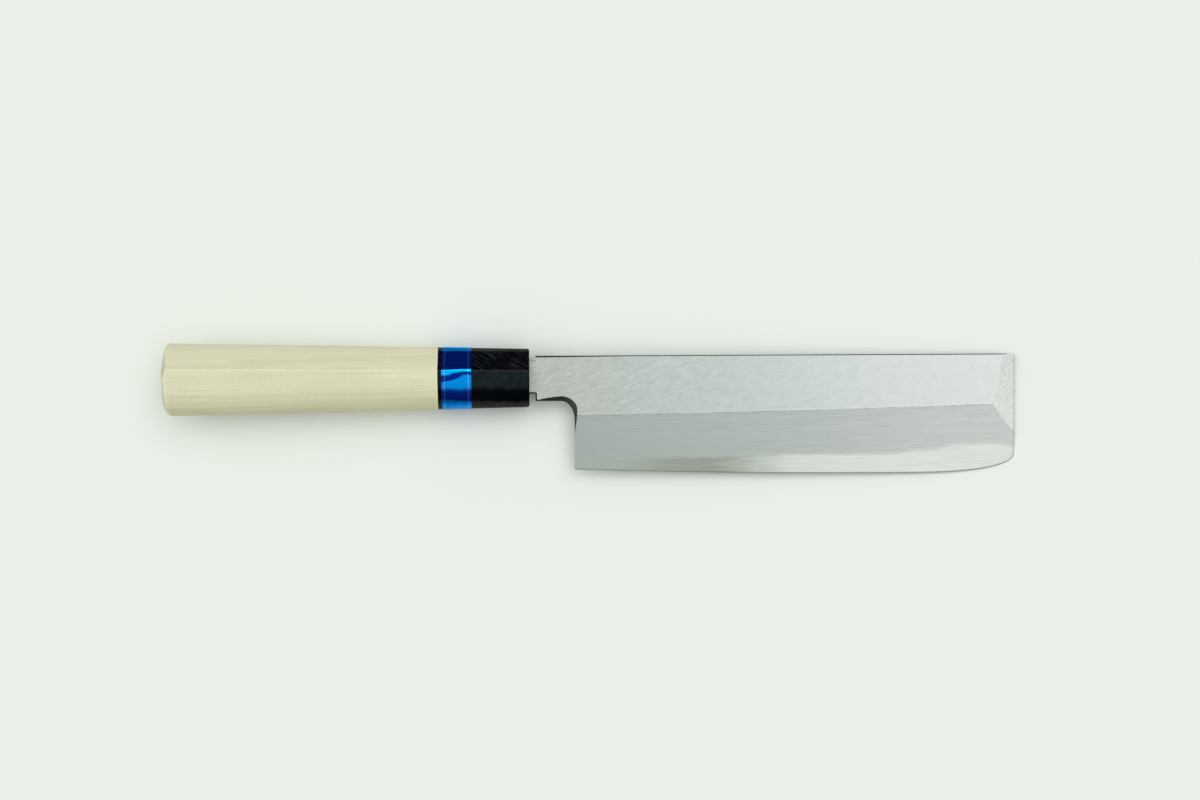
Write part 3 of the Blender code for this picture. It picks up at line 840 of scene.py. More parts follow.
@dataclass
class BladeForm:
    """The blade's outline and grind, as lines and heights over x and y."""

    length: float = 0.165
    heel_depth: float = 0.0423
    edge_flare: float = 0.0022
    chin_length: float = 0.044
    chin_rise: float = 0.0068
    spine_rise: float = 0.0082
    spine_chamfer: float = 0.0003
    spine_chamfer_at_shoulder: float = 0.00045
    spine_chamfer_ease: float = 0.030
    spine_corner: float = 0.001
    heel_thickness: float = 0.0032
    tip_thickness: float = 0.0021
    face_depth_heel: float = 0.0220
    face_depth_tip: float = 0.0184
    bevel_line_bow: float = 0.0005
    bevel_line_waver: float = 0.00008
    waver_lengths: Range = (0.00366, 0.00145)
    core_thickness: float = 0.0007
    core_stations: tuple[tuple[float, float], ...] = (
        (0.0, -0.0300), (0.047, -0.0299), (0.077, -0.0293), (0.105, -0.0295), (0.119, -0.0293),
        (0.130, -0.0280), (0.147, -0.0260), (0.156, -0.0254), (0.165, -0.0266),
    )
    hollow_depth: float = 0.0003
    rim_at_spine: float = 0.0030
    rim_at_edge: float = 0.0016
    rim_at_heel: float = 0.0070
    rim_at_tip: float = 0.0050
    facet_at_spine: float = 0.0049
    facet_lean: float = 0.0035
    facet_lean_power: float = 1.7
    facet_lean_beyond: float = 0.1
    facet_slope: float = 0.118
    facet_reach: float = 0.012
    crease_margin: float = 0.0012
    end_rounding: float = 0.0003
    end_rounding_share: float = 0.6
    neck_length: float = 0.0144
    chin_steps: int = 120
    belly_steps: int = 150

    @property
    def back(self) -> float:
        """Height of the flat back."""
        return -self.heel_thickness / 2

    @property
    def belly(self) -> float:
        """Where the edge begins to round up to the tip."""
        return self.length - self.chin_length

    def columns(self) -> np.ndarray:
        """Places along the blade, closer together round the chin, where x follows sin(turn) ** (2/3)."""
        chin = self.belly + self.chin_length * np.sin(np.pi / 2 * steps(self.chin_steps)) ** (2 / 3)
        return np.concatenate([np.linspace(0.0, self.belly, self.belly_steps, endpoint=False), chin])

    def edge(self, x: np.ndarray) -> np.ndarray:
        """The edge's line: a parabola from the heel, then a superellipse of powers 3 and 2 at the chin.

        Args:
            x: places along the blade.

        Returns:
            The edge's y at each.
        """
        flare = self.edge_flare * np.clip(1 - x / self.belly, 0, None) ** 2
        reach = np.clip((x - self.belly) / self.chin_length, 0, 1) ** 3
        lowest = self.spine_rise - self.heel_depth - self.edge_flare
        return lowest + np.where(x < self.belly, flare, self.chin_rise * (1 - np.sqrt(1 - reach)))

    def spine(self, x: np.ndarray) -> np.ndarray:
        """The spine's line: straight, with a small quarter circle at the tip.

        Args:
            x: places along the blade.

        Returns:
            The spine's y at each.
        """
        r = self.spine_corner
        past = np.clip(x - (self.length - r), 0, r)
        return self.spine_rise - r + np.sqrt(r * r - past * past)

    def thickness(self, x: np.ndarray) -> np.ndarray:
        """Full thickness, which thins evenly from the neck's end to the tip."""
        share = (x + self.neck_length) / (self.length + self.neck_length)
        return mix(self.heel_thickness, self.tip_thickness, share)

    def spine_chamfer_at(self, x: np.ndarray) -> np.ndarray:
        """The spine's front chamfer: it thins from the shoulder on, and the tip's facet grinds it away.

        Args:
            x: places along the blade.

        Returns:
            The chamfer's width at each.
        """
        along = eased((x + self.neck_length) / self.spine_chamfer_ease)
        ground = self.facet_slope * np.clip(x - (self.length - self.facet_at_spine), 0, None)
        return np.clip(mix(self.spine_chamfer_at_shoulder, self.spine_chamfer, along) - ground, 0, None)

    def bevel_line(self, x: np.ndarray) -> np.ndarray:
        """Where the flat face turns into the bevel: a slightly bowed line.

        Two sine waves of 23 and 9 mm stand for the unevenness of grinding by hand.

        Args:
            x: places along the blade.

        Returns:
            The line's y at each.
        """
        share = x / self.length
        bow = self.bevel_line_bow * 4 * share * (1 - share)
        long, short = self.waver_lengths
        waver = self.bevel_line_waver / 2 * (np.sin(x / long) + np.sin(x / short + 2))
        return self.spine_rise - mix(self.face_depth_heel, self.face_depth_tip, share) - bow + waver

    def facet_line(self, y: np.ndarray) -> np.ndarray:
        """Where the facet across the tip begins.

        The distance from the tip grows as a power of the depth below the spine as far as the bevel, and
        evenly with the depth from there.

        Args:
            y: places across the blade.

        Returns:
            The line's x at each.
        """
        depth = (self.spine_rise - y) / self.face_depth_tip
        lean = self.facet_lean * np.clip(depth, 0, 1) ** self.facet_lean_power
        beyond = self.facet_lean_beyond * np.clip(depth - 1, 0, None) * self.face_depth_tip
        return self.length - self.facet_at_spine - lean - beyond

    def bevel_drop(self, x: np.ndarray, y: np.ndarray) -> np.ndarray:
        """Height ground away by the bevel: none above its line, and the full thickness at the edge."""
        line = self.bevel_line(x)
        return self.thickness(x) * np.clip((line - y) / np.maximum(line - self.edge(x), 1e-6), 0, None)

    def height(self, x: np.ndarray, y: np.ndarray) -> np.ndarray:
        """The front surface: the lowest of the flat face, the bevel and the tip's facet.

        A quarter circle takes the sharpness off the end, but never more than a share of the steel there.

        Args:
            x: places along the blade.
            y: places across it.

        Returns:
            Heights, of the same shape.
        """
        front = self.back + self.thickness(x)
        facet = front - self.facet_slope * (x - self.facet_line(y))
        top = np.minimum(np.minimum(front, front - self.bevel_drop(x, y)), facet)
        r = self.end_rounding
        past = np.clip(x - (self.length - r), 0, r)
        steel = np.clip(top - self.back - self.core_thickness, 0, None)
        return top - np.minimum(r - np.sqrt(r * r - past * past), self.end_rounding_share * steel)

    def front(self, x: np.ndarray, y: np.ndarray) -> np.ndarray:
        """Points of the front surface."""
        return stack(x, y, self.height(x, y))

    def weld_line(self, x: np.ndarray, level: float) -> np.ndarray:
        """Where a plane at a level above the back comes out of the bevel."""
        return mix(self.edge(x), self.bevel_line(x), level / self.thickness(x))

    def hollow(self, x: np.ndarray, y: np.ndarray) -> np.ndarray:
        """How far the back is ground out.

        Across the blade it is a parabola. Along the blade it is the root of one minus the sixth power of
        the distance from the middle, so it runs level and fades out inside the rims.

        Args:
            x: places along the blade.
            y: places across it.

        Returns:
            Depths, of the same shape.
        """
        along = (x - self.rim_at_heel) / (self.length - self.rim_at_tip - self.rim_at_heel)
        low, high = self.edge(x) + self.rim_at_edge, self.spine_rise - self.rim_at_spine
        across = np.clip((y - low) / (high - low), 0, 1)
        run = np.sqrt(np.clip(1 - np.abs(2 * along - 1) ** 6, 0, None))
        return self.hollow_depth * run * (1 - (2 * across - 1) ** 2)

    def facet_drop(self, x: np.ndarray, y: np.ndarray) -> np.ndarray:
        """How far inside the facet a point lies: the height ground away over the facet's slope."""
        return (self.facet_slope * (x - self.facet_line(y)) - self.bevel_drop(x, y)) / self.facet_slope

    def notes(self, x: np.ndarray, y: np.ndarray) -> dict[str, np.ndarray]:
        """How many millimetres points lie past the bevel, facet and core lines, and above the edge."""
        return {
            "bevel": (self.bevel_line(x) - y) * MM,
            "facet": self.facet_drop(x, y) * MM,
            "core": (through(self.core_stations, x) - y) * MM,
            "edge": (y - self.edge(x)) * MM,
        }


@dataclass
class Cladding(Piece):
    """Soft steel: the blade's front with its bevel, the neck with its choil, and the tang."""

    node = "blade_cladding"
    slot = Slot.SOFT_STEEL
    sharp_degrees = 3.2

    form: BladeForm
    neck_depth: float = 0.01675
    choil_length: float = 0.0050
    choil_height: float = 0.0071
    chamfer_at_neck: float = 0.0005
    chamfer_widest: float = 0.0021
    chamfer_at_heel: float = 0.0008
    chamfer_runout: float = 0.0055
    chamfer_start: float = 0.0015
    chamfer_swell: float = 0.6
    shoulder_step: float = 0.00155
    tang_length: float = 0.085
    tang_depth: float = 0.01245
    tang_end_depth: float = 0.0070
    tang_thickness: float = 0.0031
    tang_end_thickness: float = 0.0018
    tang_point: float = 0.006
    tang_point_share: float = 0.5
    tang_corner: float = 0.0005
    tang_stations: tuple[float, ...] = (0.0, 0.0015, 0.003, 0.02, 0.04, 0.06)
    weld_gap: float = 0.000004
    seam_top: float = 0.0012
    face_rows: int = 34
    shoulder_steps: int = 5
    neck_steps: int = 20
    choil_steps: int = 29
    below_line_steps: int = 4
    heel_corner_steps: int = 2
    fade_steps: int = 12
    heel_steps: int = 15
    bottom_points: int = 12
    run_samples: int = 400
    line_samples: int = 4000
    crease_halvings: int = 40
    heel_blend: float = 12

    @property
    def shoulder(self) -> float:
        """Where the neck ends and the tang begins."""
        return -self.form.neck_length

    @property
    def neck_bottom(self) -> float:
        """The neck's lower side."""
        return self.form.spine_rise - self.neck_depth

    @property
    def tang_axis(self) -> float:
        """The middle of the tang's depth."""
        return self.form.spine_rise - self.shoulder_step - self.tang_depth / 2

    @property
    def level(self) -> float:
        """The cladding's underside, just above the hard layer."""
        return self.form.back + self.form.core_thickness + self.weld_gap

    def finishes(self) -> dict[str, Finish]:
        """Ground steel, chamfers with a painted dark reflection, and the back's finish under the neck."""
        return {"soft_ground_steel": GroundSteel(), "painted_dark_chamfer": PaintedDarkReflection(), "stoned_back": StonedBack()}

    def arc(self, turn: np.ndarray) -> np.ndarray:
        """The choil's quarter ellipse, with the chamfer that stands square to it.

        Args:
            turn: angles from a quarter turn at the neck to 0 at the heel.

        Returns:
            Rows of an outline point's x and y, the chamfer's width, and its inner point's x and y.
        """
        a, b = self.choil_length, self.choil_height
        spot = stack(-a + a * np.cos(turn), self.neck_bottom - b + b * np.sin(turn))
        out = stack(np.cos(turn) / a, np.sin(turn) / b)
        out /= np.linalg.norm(out, axis=-1, keepdims=True)
        width = self.chamfer_width(self.run_at(turn))[:, None]
        return np.concatenate([spot, width, spot + out * width], axis=1)

    def run_at(self, turn: np.ndarray) -> np.ndarray:
        """Length of the outline from the neck's corner to an angle of the choil's arc.

        Args:
            turn: the angles.

        Returns:
            The length at each, summed by the trapezium rule.
        """
        fine = np.linspace(0, np.pi / 2, self.run_samples)
        speed = np.hypot(self.choil_length * np.sin(fine), self.choil_height * np.cos(fine))
        length = np.concatenate([[0], np.cumsum((speed[1:] + speed[:-1]) / 2 * np.diff(fine))])
        return -self.choil_length - self.shoulder + length[-1] - np.interp(turn, fine, length)

    def chamfer_width(self, run: np.ndarray) -> np.ndarray:
        """The choil's chamfer at a run from the neck's corner.

        It swells as a power of the way to the middle of the choil's curve, eases in again to the curve's
        end at the heel, and fades out evenly down the heel.

        Args:
            run: lengths of the outline from the neck's corner.

        Returns:
            The width at each.
        """
        middle, heel = (float(self.run_at(np.full(1, turn))[0]) for turn in (np.pi / 4, 0.0))
        way = np.clip((run - self.chamfer_start) / (middle - self.chamfer_start), 0, 1)
        swell = mix(self.chamfer_at_neck, self.chamfer_widest, way**self.chamfer_swell)
        ease = mix(self.chamfer_widest, self.chamfer_at_heel, eased((run - middle) / (heel - middle)))
        fade = self.chamfer_at_heel * np.clip(1 - (run - heel) / self.chamfer_runout, 0, 1)
        return np.select([run < middle, run < heel], [swell, ease], fade)

    def outline(self) -> tuple[np.ndarray, np.ndarray]:
        """The lower outline from the tang round the neck's corner and the choil, and down to the weld.

        Where the shoulder leaves the tang, the chamfer's inner line turns on one spot by a quarter.

        Returns:
            Rows like those of the arc, and the numbers of the rows at which patches meet: the neck's
            corner, the arc's start, the bevel line, the heel's step and the chamfer's end.
        """
        form, bottom, narrow = self.form, self.neck_bottom, self.chamfer_at_neck
        turn = np.pi / 2 * (1 - steps(self.shoulder_steps))
        x, y = self.shoulder, self.tang_axis - self.tang_depth / 2
        fan = stack(x, y, narrow, x + narrow * np.cos(turn), y + narrow * np.sin(turn))
        corner = stack(x, bottom, narrow, x + narrow, bottom + narrow)[None]

        x = np.linspace(x + self.chamfer_start, -self.choil_length, self.neck_steps, endpoint=False)
        width = self.chamfer_width(x - self.shoulder)
        neck = stack(x, bottom, width, x, bottom + width)

        fine = np.linspace(0, np.pi / 2, self.line_samples)
        inner_x, inner_y = self.arc(fine)[:, 3:].T
        on_line = fine[np.argmin(np.abs(inner_y - form.bevel_line(inner_x)))]
        at_step = math.acos(1 - self.weld_gap / self.choil_length)
        counts = self.choil_steps, self.below_line_steps, self.heel_corner_steps
        arc = self.arc(paced((np.pi / 2, on_line, at_step, 0), counts))

        top = bottom - self.choil_height
        weld = float(form.weld_line(np.zeros(1), self.level - form.back)[0])
        y = paced((top, top - self.chamfer_runout, weld), (self.fade_steps, self.heel_steps))[1:]
        width = self.chamfer_width(self.run_at(np.zeros(1)) + top - y)
        heel = stack(0.0, y, width, width, y)
        meets = np.cumsum([len(fan), 1 + len(neck), *counts[:2], counts[2] + self.fade_steps])
        return np.concatenate([fan, corner, neck, arc, heel]), meets

    def blade_rows(self, x: np.ndarray, below: np.ndarray) -> np.ndarray:
        """The y of the blade's rows: even from the spine to the bevel line, then at given shares to the weld.

        Args:
            x: an array (places, rows).
            below: the shares of the way from the bevel line to the weld.

        Returns:
            An array of the same shape.
        """
        form, count = self.form, self.face_rows
        top, line = form.spine(x) - form.spine_chamfer_at(x), form.bevel_line(x)
        weld = form.weld_line(x, self.level - form.back)
        above = np.arange(count) / count
        return np.concatenate([mix(top[:, :count], line[:, :count], above),
                               mix(line[:, count:], weld[:, count:], below)], axis=1)

    def crease(self, below: np.ndarray) -> np.ndarray:
        """Where each row of the blade runs into the tip's facet, found by halving the way many times.

        Args:
            below: the shares of the way from the bevel line to the weld.

        Returns:
            One x for each row.
        """
        form = self.form
        low = np.full((1, self.face_rows + len(below)), form.length - form.facet_reach)
        high = np.full_like(low, form.length)
        for _ in range(self.crease_halvings):
            middle = (low + high) / 2
            inside = form.facet_drop(middle, self.blade_rows(middle, below)) > 0
            low, high = np.where(inside, low, middle), np.where(inside, middle, high)
        return np.minimum(low[0], form.length - form.crease_margin)

    def fronts(self, inner: np.ndarray, seam: int) -> tuple[np.ndarray, np.ndarray, int]:
        """The front's two grids.

        Over the neck the front is a grid of straight columns from the spine to the chamfer's inner line.
        Over the blade it is a grid whose rows keep to the bevel line and the weld, whose first column
        follows the neck's last and the heel, and of which one column keeps to the facet's crease.

        Args:
            inner: the chamfer's inner line.
            seam: the point of it where the two grids meet on the bevel line.

        Returns:
            The neck's grid, the blade's grid, and the neck's column over the heel's step.
        """
        form, count = self.form, self.face_rows
        low = inner[: seam + 1]
        run = np.concatenate([[0], np.cumsum(np.linalg.norm(np.diff(low, axis=0), axis=-1))])
        even = mix(self.shoulder, self.seam_top, run / run[-1])
        step_top = int(np.argmin(np.abs(even + self.weld_gap)))
        top_x = np.interp(run, run[[0, step_top, -1]], [self.shoulder, -self.weld_gap, self.seam_top])
        top_y = form.spine(top_x) - form.spine_chamfer_at(top_x)
        neck = mix(stack(top_x, top_y)[:, None], low[:, None], steps(count)[:, None])
        first_x, first_y = np.concatenate([neck[-1, :-1], inner[seam:]]).T
        neck = form.front(neck[..., 0], neck[..., 1])

        below = (first_y[count] - first_y[count:]) / (first_y[count] - first_y[-1])
        reach = (form.columns() / form.length)[:, None]
        turning = reach[np.argmin(np.abs(reach - 1 + form.facet_at_spine / form.length))]
        crease = self.crease(below)
        x = np.where(reach < turning, mix(first_x, crease, reach / turning),
                     mix(crease, form.length, (reach - turning) / (1 - turning)))
        y = mix(first_y, self.blade_rows(x, below), eased(reach * self.heel_blend))
        y[1:, count] = form.bevel_line(x[1:, count])
        y[:, -1] = form.weld_line(x[:, -1], self.level - form.back)
        blade = form.front(x, y)
        blade[:, -1, 2] = self.level
        neck[-1, -1] = blade[0, count]
        return neck, blade, step_top

    def skin(self) -> Skin:
        """The two front grids, with chamfers and walls that hang from their rims, and flat caps below.

        Returns:
            The piece's patches.
        """
        form, skin = self.form, Skin()
        rows, (corner, choil, line, step, fade) = self.outline()
        outer, width, level, back = rows[:, :2], rows[:, 2], self.level, form.back
        neck, blade, step_top = self.fronts(rows[:, 3:], line)
        skin.add(neck)
        skin.add(blade)

        rim = np.concatenate([neck[:, -1], blade[0, self.face_rows + 1 :]])
        foot = stack(*outer.T, rim[:, 2] - width)
        foot[:choil, 2] = form.height(*outer[:choil].T) - width[:choil]
        foot[fade:] = rim[fade:]
        skin.strip(rim, foot, finish=1)
        ground = at_level(foot[corner:], level)
        skin.strip(foot[corner:], ground)
        step -= corner
        base = at_level(ground[: step + 1], back)
        skin.strip(ground[: step + 1], base)

        ridge = np.concatenate([neck[:, 0], blade[1:, 0]])
        c = form.spine_chamfer_at(ridge[:, 0])
        shelf = ridge + stack(0, c, -c)
        shelf_foot = at_level(shelf, level)
        skin.strip(ridge, shelf, finish=1)
        skin.strip(shelf, shelf_foot)
        shelf_base = at_level(shelf[: step_top + 1], back)
        skin.strip(shelf_foot[: step_top + 1], shelf_base)

        tip = np.concatenate([shelf[-1:], blade[-1]])
        tip_foot = at_level(tip, level)
        skin.strip(tip, tip_foot)

        skin.cap(shelf_foot[step_top:], tip_foot[1:], blade[-2::-1, -1], ground[step:-1][::-1])
        skin.cap(np.stack([shelf_foot[step_top], shelf_base[-1], base[-1], ground[step]]))

        side = steps(self.bottom_points + 1)[1:-1, None]
        shoulder_back = mix(base[0], shelf_base[0], side)
        skin.cap(shelf_base, base[::-1], shoulder_back, finish=2)
        self.add_tang(skin, np.concatenate([
            neck[0], foot[:1], foot[corner][None], ground[:1], base[:1], shoulder_back,
            shelf_base[:1], shelf_foot[:1], shelf[:1],
        ]))
        return skin

    def add_tang(self, skin: Skin, root: np.ndarray) -> None:
        """Join the neck's end loop to the tang, and carry the tang to its blunt point.

        The tang is a bar with eight sides. Its points stand along its front, down its lower side, back
        along its rear and up its upper side, one for each point of the loop.

        Args:
            skin: the cladding's patches.
            root: the loop round the neck's end.
        """
        full = self.tang_length - self.tang_point
        x = np.array([*self.tang_stations, full, self.tang_length])[:, None]
        share = np.clip(x / full, 0, 1)
        depth = mix(self.tang_depth, self.tang_end_depth, share)
        depth[-1] = self.tang_end_depth * self.tang_point_share
        half_y, half_z = depth / 2, mix(self.tang_thickness, self.tang_end_thickness, share) / 2
        flat_y, flat_z = half_y - self.tang_corner, half_z - self.tang_corner
        front, bottom = self.face_rows + 1, self.bottom_points
        section = np.concatenate([
            stack(mix(flat_y, -flat_y, steps(front - 1)), half_z),
            stack(-half_y, mix(flat_z, -flat_z, steps(3))),
            stack(mix(-flat_y, flat_y, steps(bottom - 1)), -half_z),
            stack(half_y, mix(-flat_z, flat_z, steps(2))),
        ], axis=1)
        loops = stack(self.shoulder - x, self.tang_axis + section[..., 0], section[..., 1])
        skin.add(np.stack([root, loops[0]]), round_again=True)
        skin.add(loops[:, front - 1 : front + 1], 1)
        skin.add(np.roll(loops, -front, axis=1))
        skin.cap(loops[-1])


@dataclass
class CoreSteel(Piece):
    """Hard steel: the layer along the back, its share of the bevel, and the hollow between the rims."""

    node = "edge_steel"
    slot = Slot.HARD_STEEL
    sharp_degrees = 3.2

    form: BladeForm
    bevel_rows: int = 16
    edge_rim_rows: int = 3
    hollow_rows: int = 44
    spine_rim_rows: int = 4

    def finishes(self) -> dict[str, Finish]:
        """Ground steel on the bevel, and the back's finish."""
        return {"hard_ground_steel": GroundSteel(), "stoned_back": StonedBack()}

    def skin(self) -> Skin:
        """Bevel strip, hollow back, spine wall, and caps on top and at both ends.

        Returns:
            The piece's patches.
        """
        form, skin = self.form, Skin()
        x = form.columns()
        c, level = form.spine_chamfer, form.back + form.core_thickness
        edge, spine = form.edge(x), form.spine(x)
        low, high = edge + form.rim_at_edge, form.spine_rise - form.rim_at_spine
        share = steps(self.bevel_rows)
        y = mix(form.weld_line(x, form.core_thickness)[:, None], edge[:, None], share)
        bevel = stack(x[:, None], y, mix(level, form.back, share))
        skin.add(bevel)
        y = np.concatenate([mix(edge[:, None], low[:, None], steps(self.edge_rim_rows)[:-1]),
                            mix(low[:, None], high, steps(self.hollow_rows)),
                            mix(high, (spine - c)[:, None], steps(self.spine_rim_rows)[1:])], axis=1)
        under = stack(x[:, None], y, form.back + form.hollow(x[:, None], y))
        skin.add(under, 1)
        wall, top = stack(x, spine, form.back + c), stack(x, spine, level)
        skin.strip(under[:, -1], wall, top)
        skin.cap(top, bevel[::-1, 0])
        for end in (0, -1):
            skin.cap(top[end][None], bevel[end], under[end][1:], wall[end][None])
        return skin


# The handle


@dataclass
class HandleForm:
    """The tapered D section that grip, ferrule and band share."""

    length: float = 0.134
    front: float = -0.0167
    ferrule_length: float = 0.0335
    front_height: float = 0.0216
    butt_height: float = 0.0267
    front_thickness: float = 0.0166
    butt_thickness: float = 0.0205
    front_ridge: float = 0.0026
    butt_ridge: float = 0.0039
    upper_tilt: float = math.radians(35)
    lower_tilt: float = math.radians(9)
    lower_fullness: float = 0.62
    upper_corner: float = 0.0011
    ridge_softness: float = 0.0006
    lower_points: int = 40
    back_points: int = 60
    corner_points: int = 9
    upper_points: int = 12
    ridge_points: int = 6

    @property
    def rear(self) -> float:
        """Where the ferrule ends and the grip begins."""
        return self.front - self.ferrule_length

    @property
    def butt(self) -> float:
        """The grip's rear end."""
        return self.front - self.length

    def ridge_at(self, x: np.ndarray) -> np.ndarray:
        """The ridge line's height above the handle's axis."""
        return mix(self.front_ridge, self.butt_ridge, (self.front - x) / self.length)

    def notes(self, x: np.ndarray, y: np.ndarray) -> dict[str, np.ndarray]:
        """How many millimetres points lie above the ridge line."""
        return {"ridge": (y - self.ridge_at(x)) * MM}

    def rings(self, x: np.ndarray, inset: np.ndarray = 0.0) -> np.ndarray:
        """The section at each place, drawn in on all sides by an inset.

        From the ridge the lower facet is a Bezier curve that starts almost level and ends upright. The
        back is half an ellipse. An arc rounds the upper corner, the upper facet is flat, and a short
        quadratic curve softens the ridge.

        Args:
            x: places along the handle.
            inset: how far the section is drawn in at each.

        Returns:
            An array (places, points round, 3).
        """
        x, inset = (np.atleast_1d(np.asarray(part, float)) for part in np.broadcast_arrays(x, inset))
        share = (self.front - x) / self.length
        height = mix(self.front_height, self.butt_height, share)[:, None]
        half_h = height / 2 - inset[:, None]
        half_t = (mix(self.front_thickness, self.butt_thickness, share) / 2 - inset)[:, None]
        ridge = self.ridge_at(x)[:, None] * 2 * half_h / height
        reach = (half_h + ridge) * 0.5

        crest = stack(ridge, half_t)
        t = np.linspace(0, 1, self.lower_points, endpoint=False)[:, None]
        lower = bezier(t, crest, stack(ridge - reach, half_t - reach * math.tan(self.lower_tilt)),
                       stack(-half_h, half_t * self.lower_fullness), stack(-half_h, 0.0))

        turn = np.pi + np.pi * np.linspace(0, 1, self.back_points, endpoint=False)
        back = stack(half_h * np.cos(turn), half_t * np.sin(turn))

        r, open_angle = self.upper_corner, np.pi / 2 - self.upper_tilt
        turn = open_angle * steps(self.corner_points - 1)
        middle = half_t - (half_h - ridge) * math.tan(self.upper_tilt) - r * math.tan(open_angle / 2)
        corner = stack(half_h - r + r * np.cos(turn), middle + r * np.sin(turn))

        end = corner[:, -1:]
        soft = self.ridge_softness / np.linalg.norm(end - crest, axis=-1, keepdims=True)
        upper = mix(end, crest, steps(self.upper_points)[1:, None] * (1 - soft))

        cut = np.argmax((crest - lower)[..., 0] > self.ridge_softness, axis=1).max()
        bend = bezier(steps(self.ridge_points)[1:, None], upper[:, -1:], crest, lower[:, cut : cut + 1])
        section = np.concatenate([lower[:, cut + 1 :], back, corner, upper, bend], axis=1)
        return stack(x[:, None], section[..., 0], section[..., 1])

    def under(self, x: float, half_height: float, half_thickness: float, power: float = 2,
              middle: float = 0.0) -> np.ndarray:
        """A loop with one point under each point of the handle's section, as seen from a middle.

        A loop is a superellipse: power 2 is an ellipse, and a high power is a bar with soft corners.

        Args:
            x: the loop's place.
            half_height: half the loop's size in Y.
            half_thickness: half its size in Z.
            power: the superellipse's power.
            middle: the loop's middle in Y.

        Returns:
            An array (1, points round, 3).
        """
        outer = self.rings(self.rear)[0]
        turn = np.arctan2(outer[:, 2], outer[:, 1])
        cos, sin = np.cos(turn), np.sin(turn)
        radius = (np.abs(cos / half_height) ** power + np.abs(sin / half_thickness) ** power) ** (-1 / power)
        return stack(x, middle + radius * cos, radius * sin)[None]

    def rounded(self, end: float, length: float, reach: float, direction: int, count: int) -> np.ndarray:
        """Sections that round off one end with a quarter ellipse, from the end face inwards.

        Args:
            end: the end's place.
            length: the rounding along the handle.
            reach: the rounding inwards, over the end face.
            direction: 1 for the front end, -1 for the butt.
            count: steps of the quarter ellipse.

        Returns:
            An array (count + 1, points round, 3).
        """
        turn = np.pi / 2 * (1 - steps(count))
        return self.rings(end - direction * length * (1 - np.sin(turn)), reach * (1 - np.cos(turn)))


@dataclass
class Grip(Piece):
    """Magnolia grip with a rounded butt and a tenon that holds the tang's hole."""

    node = "handle_grip"
    slot = Slot.WOOD

    form: HandleForm
    shell: Cladding
    butt_rounding: float = 0.0029
    butt_reach: float = 0.0048
    butt_eye: float = 0.02
    shoulder_gap: float = 0.00005
    tenon_length: float = 0.018
    tenon_height: float = 0.0155
    tenon_thickness: float = 0.0108
    tenon_chamfer: float = 0.001
    fit_gap: float = 0.0003
    tang_power: float = 10
    rings_along: int = 60
    rings_round_butt: int = 16
    rings_on_butt: int = 12

    def finishes(self) -> dict[str, Finish]:
        """Bare wood."""
        return {"bare_magnolia": Magnolia(self.form.butt, self.form.rear)}

    def skin(self) -> Skin:
        """One skin, carried from the butt over the body and the tenon, and down the tang's hole.

        Returns:
            The piece's patches.
        """
        form, skin, shell = self.form, Skin(), self.shell
        shoulder, tip = form.rear - self.shoulder_gap, form.rear + self.tenon_length
        ends = form.rounded(form.butt, self.butt_rounding, self.butt_reach, -1, self.rings_round_butt)
        middle = np.array([(ends[0, :, 1].min() + ends[0, :, 1].max()) / 2, 0.0])
        inward = np.linspace(self.butt_eye, 1, self.rings_on_butt, endpoint=False)[:, None, None]
        face = np.repeat(ends[:1], self.rings_on_butt, axis=0)
        face[:, :, 1:] = mix(middle, ends[0, :, 1:], inward)
        body = form.rings(np.linspace(form.butt + self.butt_rounding, shoulder, self.rings_along)[1:])
        half = self.tenon_height / 2, self.tenon_thickness / 2
        hole_end = shell.shoulder - shell.tang_length - self.fit_gap
        point = self.tang_loop(hole_end, self.fit_gap, shell.tang_point_share)
        skin.cap(face[0])
        skin.add(np.concatenate([
            face, ends, body,
            form.under(shoulder, *half),
            form.under(tip - self.tenon_chamfer, *half),
            form.under(tip, *(side - self.tenon_chamfer for side in half)),
            self.tang_loop(tip, self.fit_gap),
            self.tang_loop(hole_end + shell.tang_point, self.fit_gap),
            point,
        ]), round_again=True)
        skin.cap(point[0])
        return skin

    def tang_loop(self, x: float, clearance: float, shrink: float = 1.0) -> np.ndarray:
        """The loop round the tang at one place.

        Args:
            x: the place.
            clearance: how far the loop stands off the tang.
            shrink: a factor on the tang's depth.

        Returns:
            An array (1, points round, 3).
        """
        shell = self.shell
        share = min(1.0, (shell.shoulder - x) / (shell.tang_length - shell.tang_point))
        depth = mix(shell.tang_depth, shell.tang_end_depth, share) * shrink
        thick = mix(shell.tang_thickness, shell.tang_end_thickness, share)
        half = depth / 2 + clearance, thick / 2 + clearance
        return self.form.under(x, *half, self.tang_power, shell.tang_axis)


@dataclass
class Seal(Piece):
    """Pitch in the ferrule's mouth round the tang, with a slightly sunk front."""

    node = "tang_seal"
    slot = Slot.RESIN
    sharp_degrees = 40.0

    grip: Grip
    depth: float = 0.0025
    wall: float = 0.0006
    sunk: float = 0.00015
    film: float = 0.00006

    def finishes(self) -> dict[str, Finish]:
        """Pitch."""
        return {"pitch": Resin()}

    def notes(self, x: np.ndarray, y: np.ndarray) -> dict[str, np.ndarray]:
        """None, because the pitch follows no line of the handle."""
        return {}

    def skin(self) -> Skin:
        """A collar between the mouth's wall and the tang.

        Returns:
            The piece's patches.
        """
        skin, loop = Skin(), self.grip.tang_loop
        front, gap = self.grip.form.front, self.grip.fit_gap
        rear, outer = front - self.depth, gap + self.wall
        skin.ring(loop(rear, outer), loop(front, outer), loop(front - self.sunk, (gap + outer) / 2),
                  loop(front, self.film), loop(rear, self.film))
        return skin


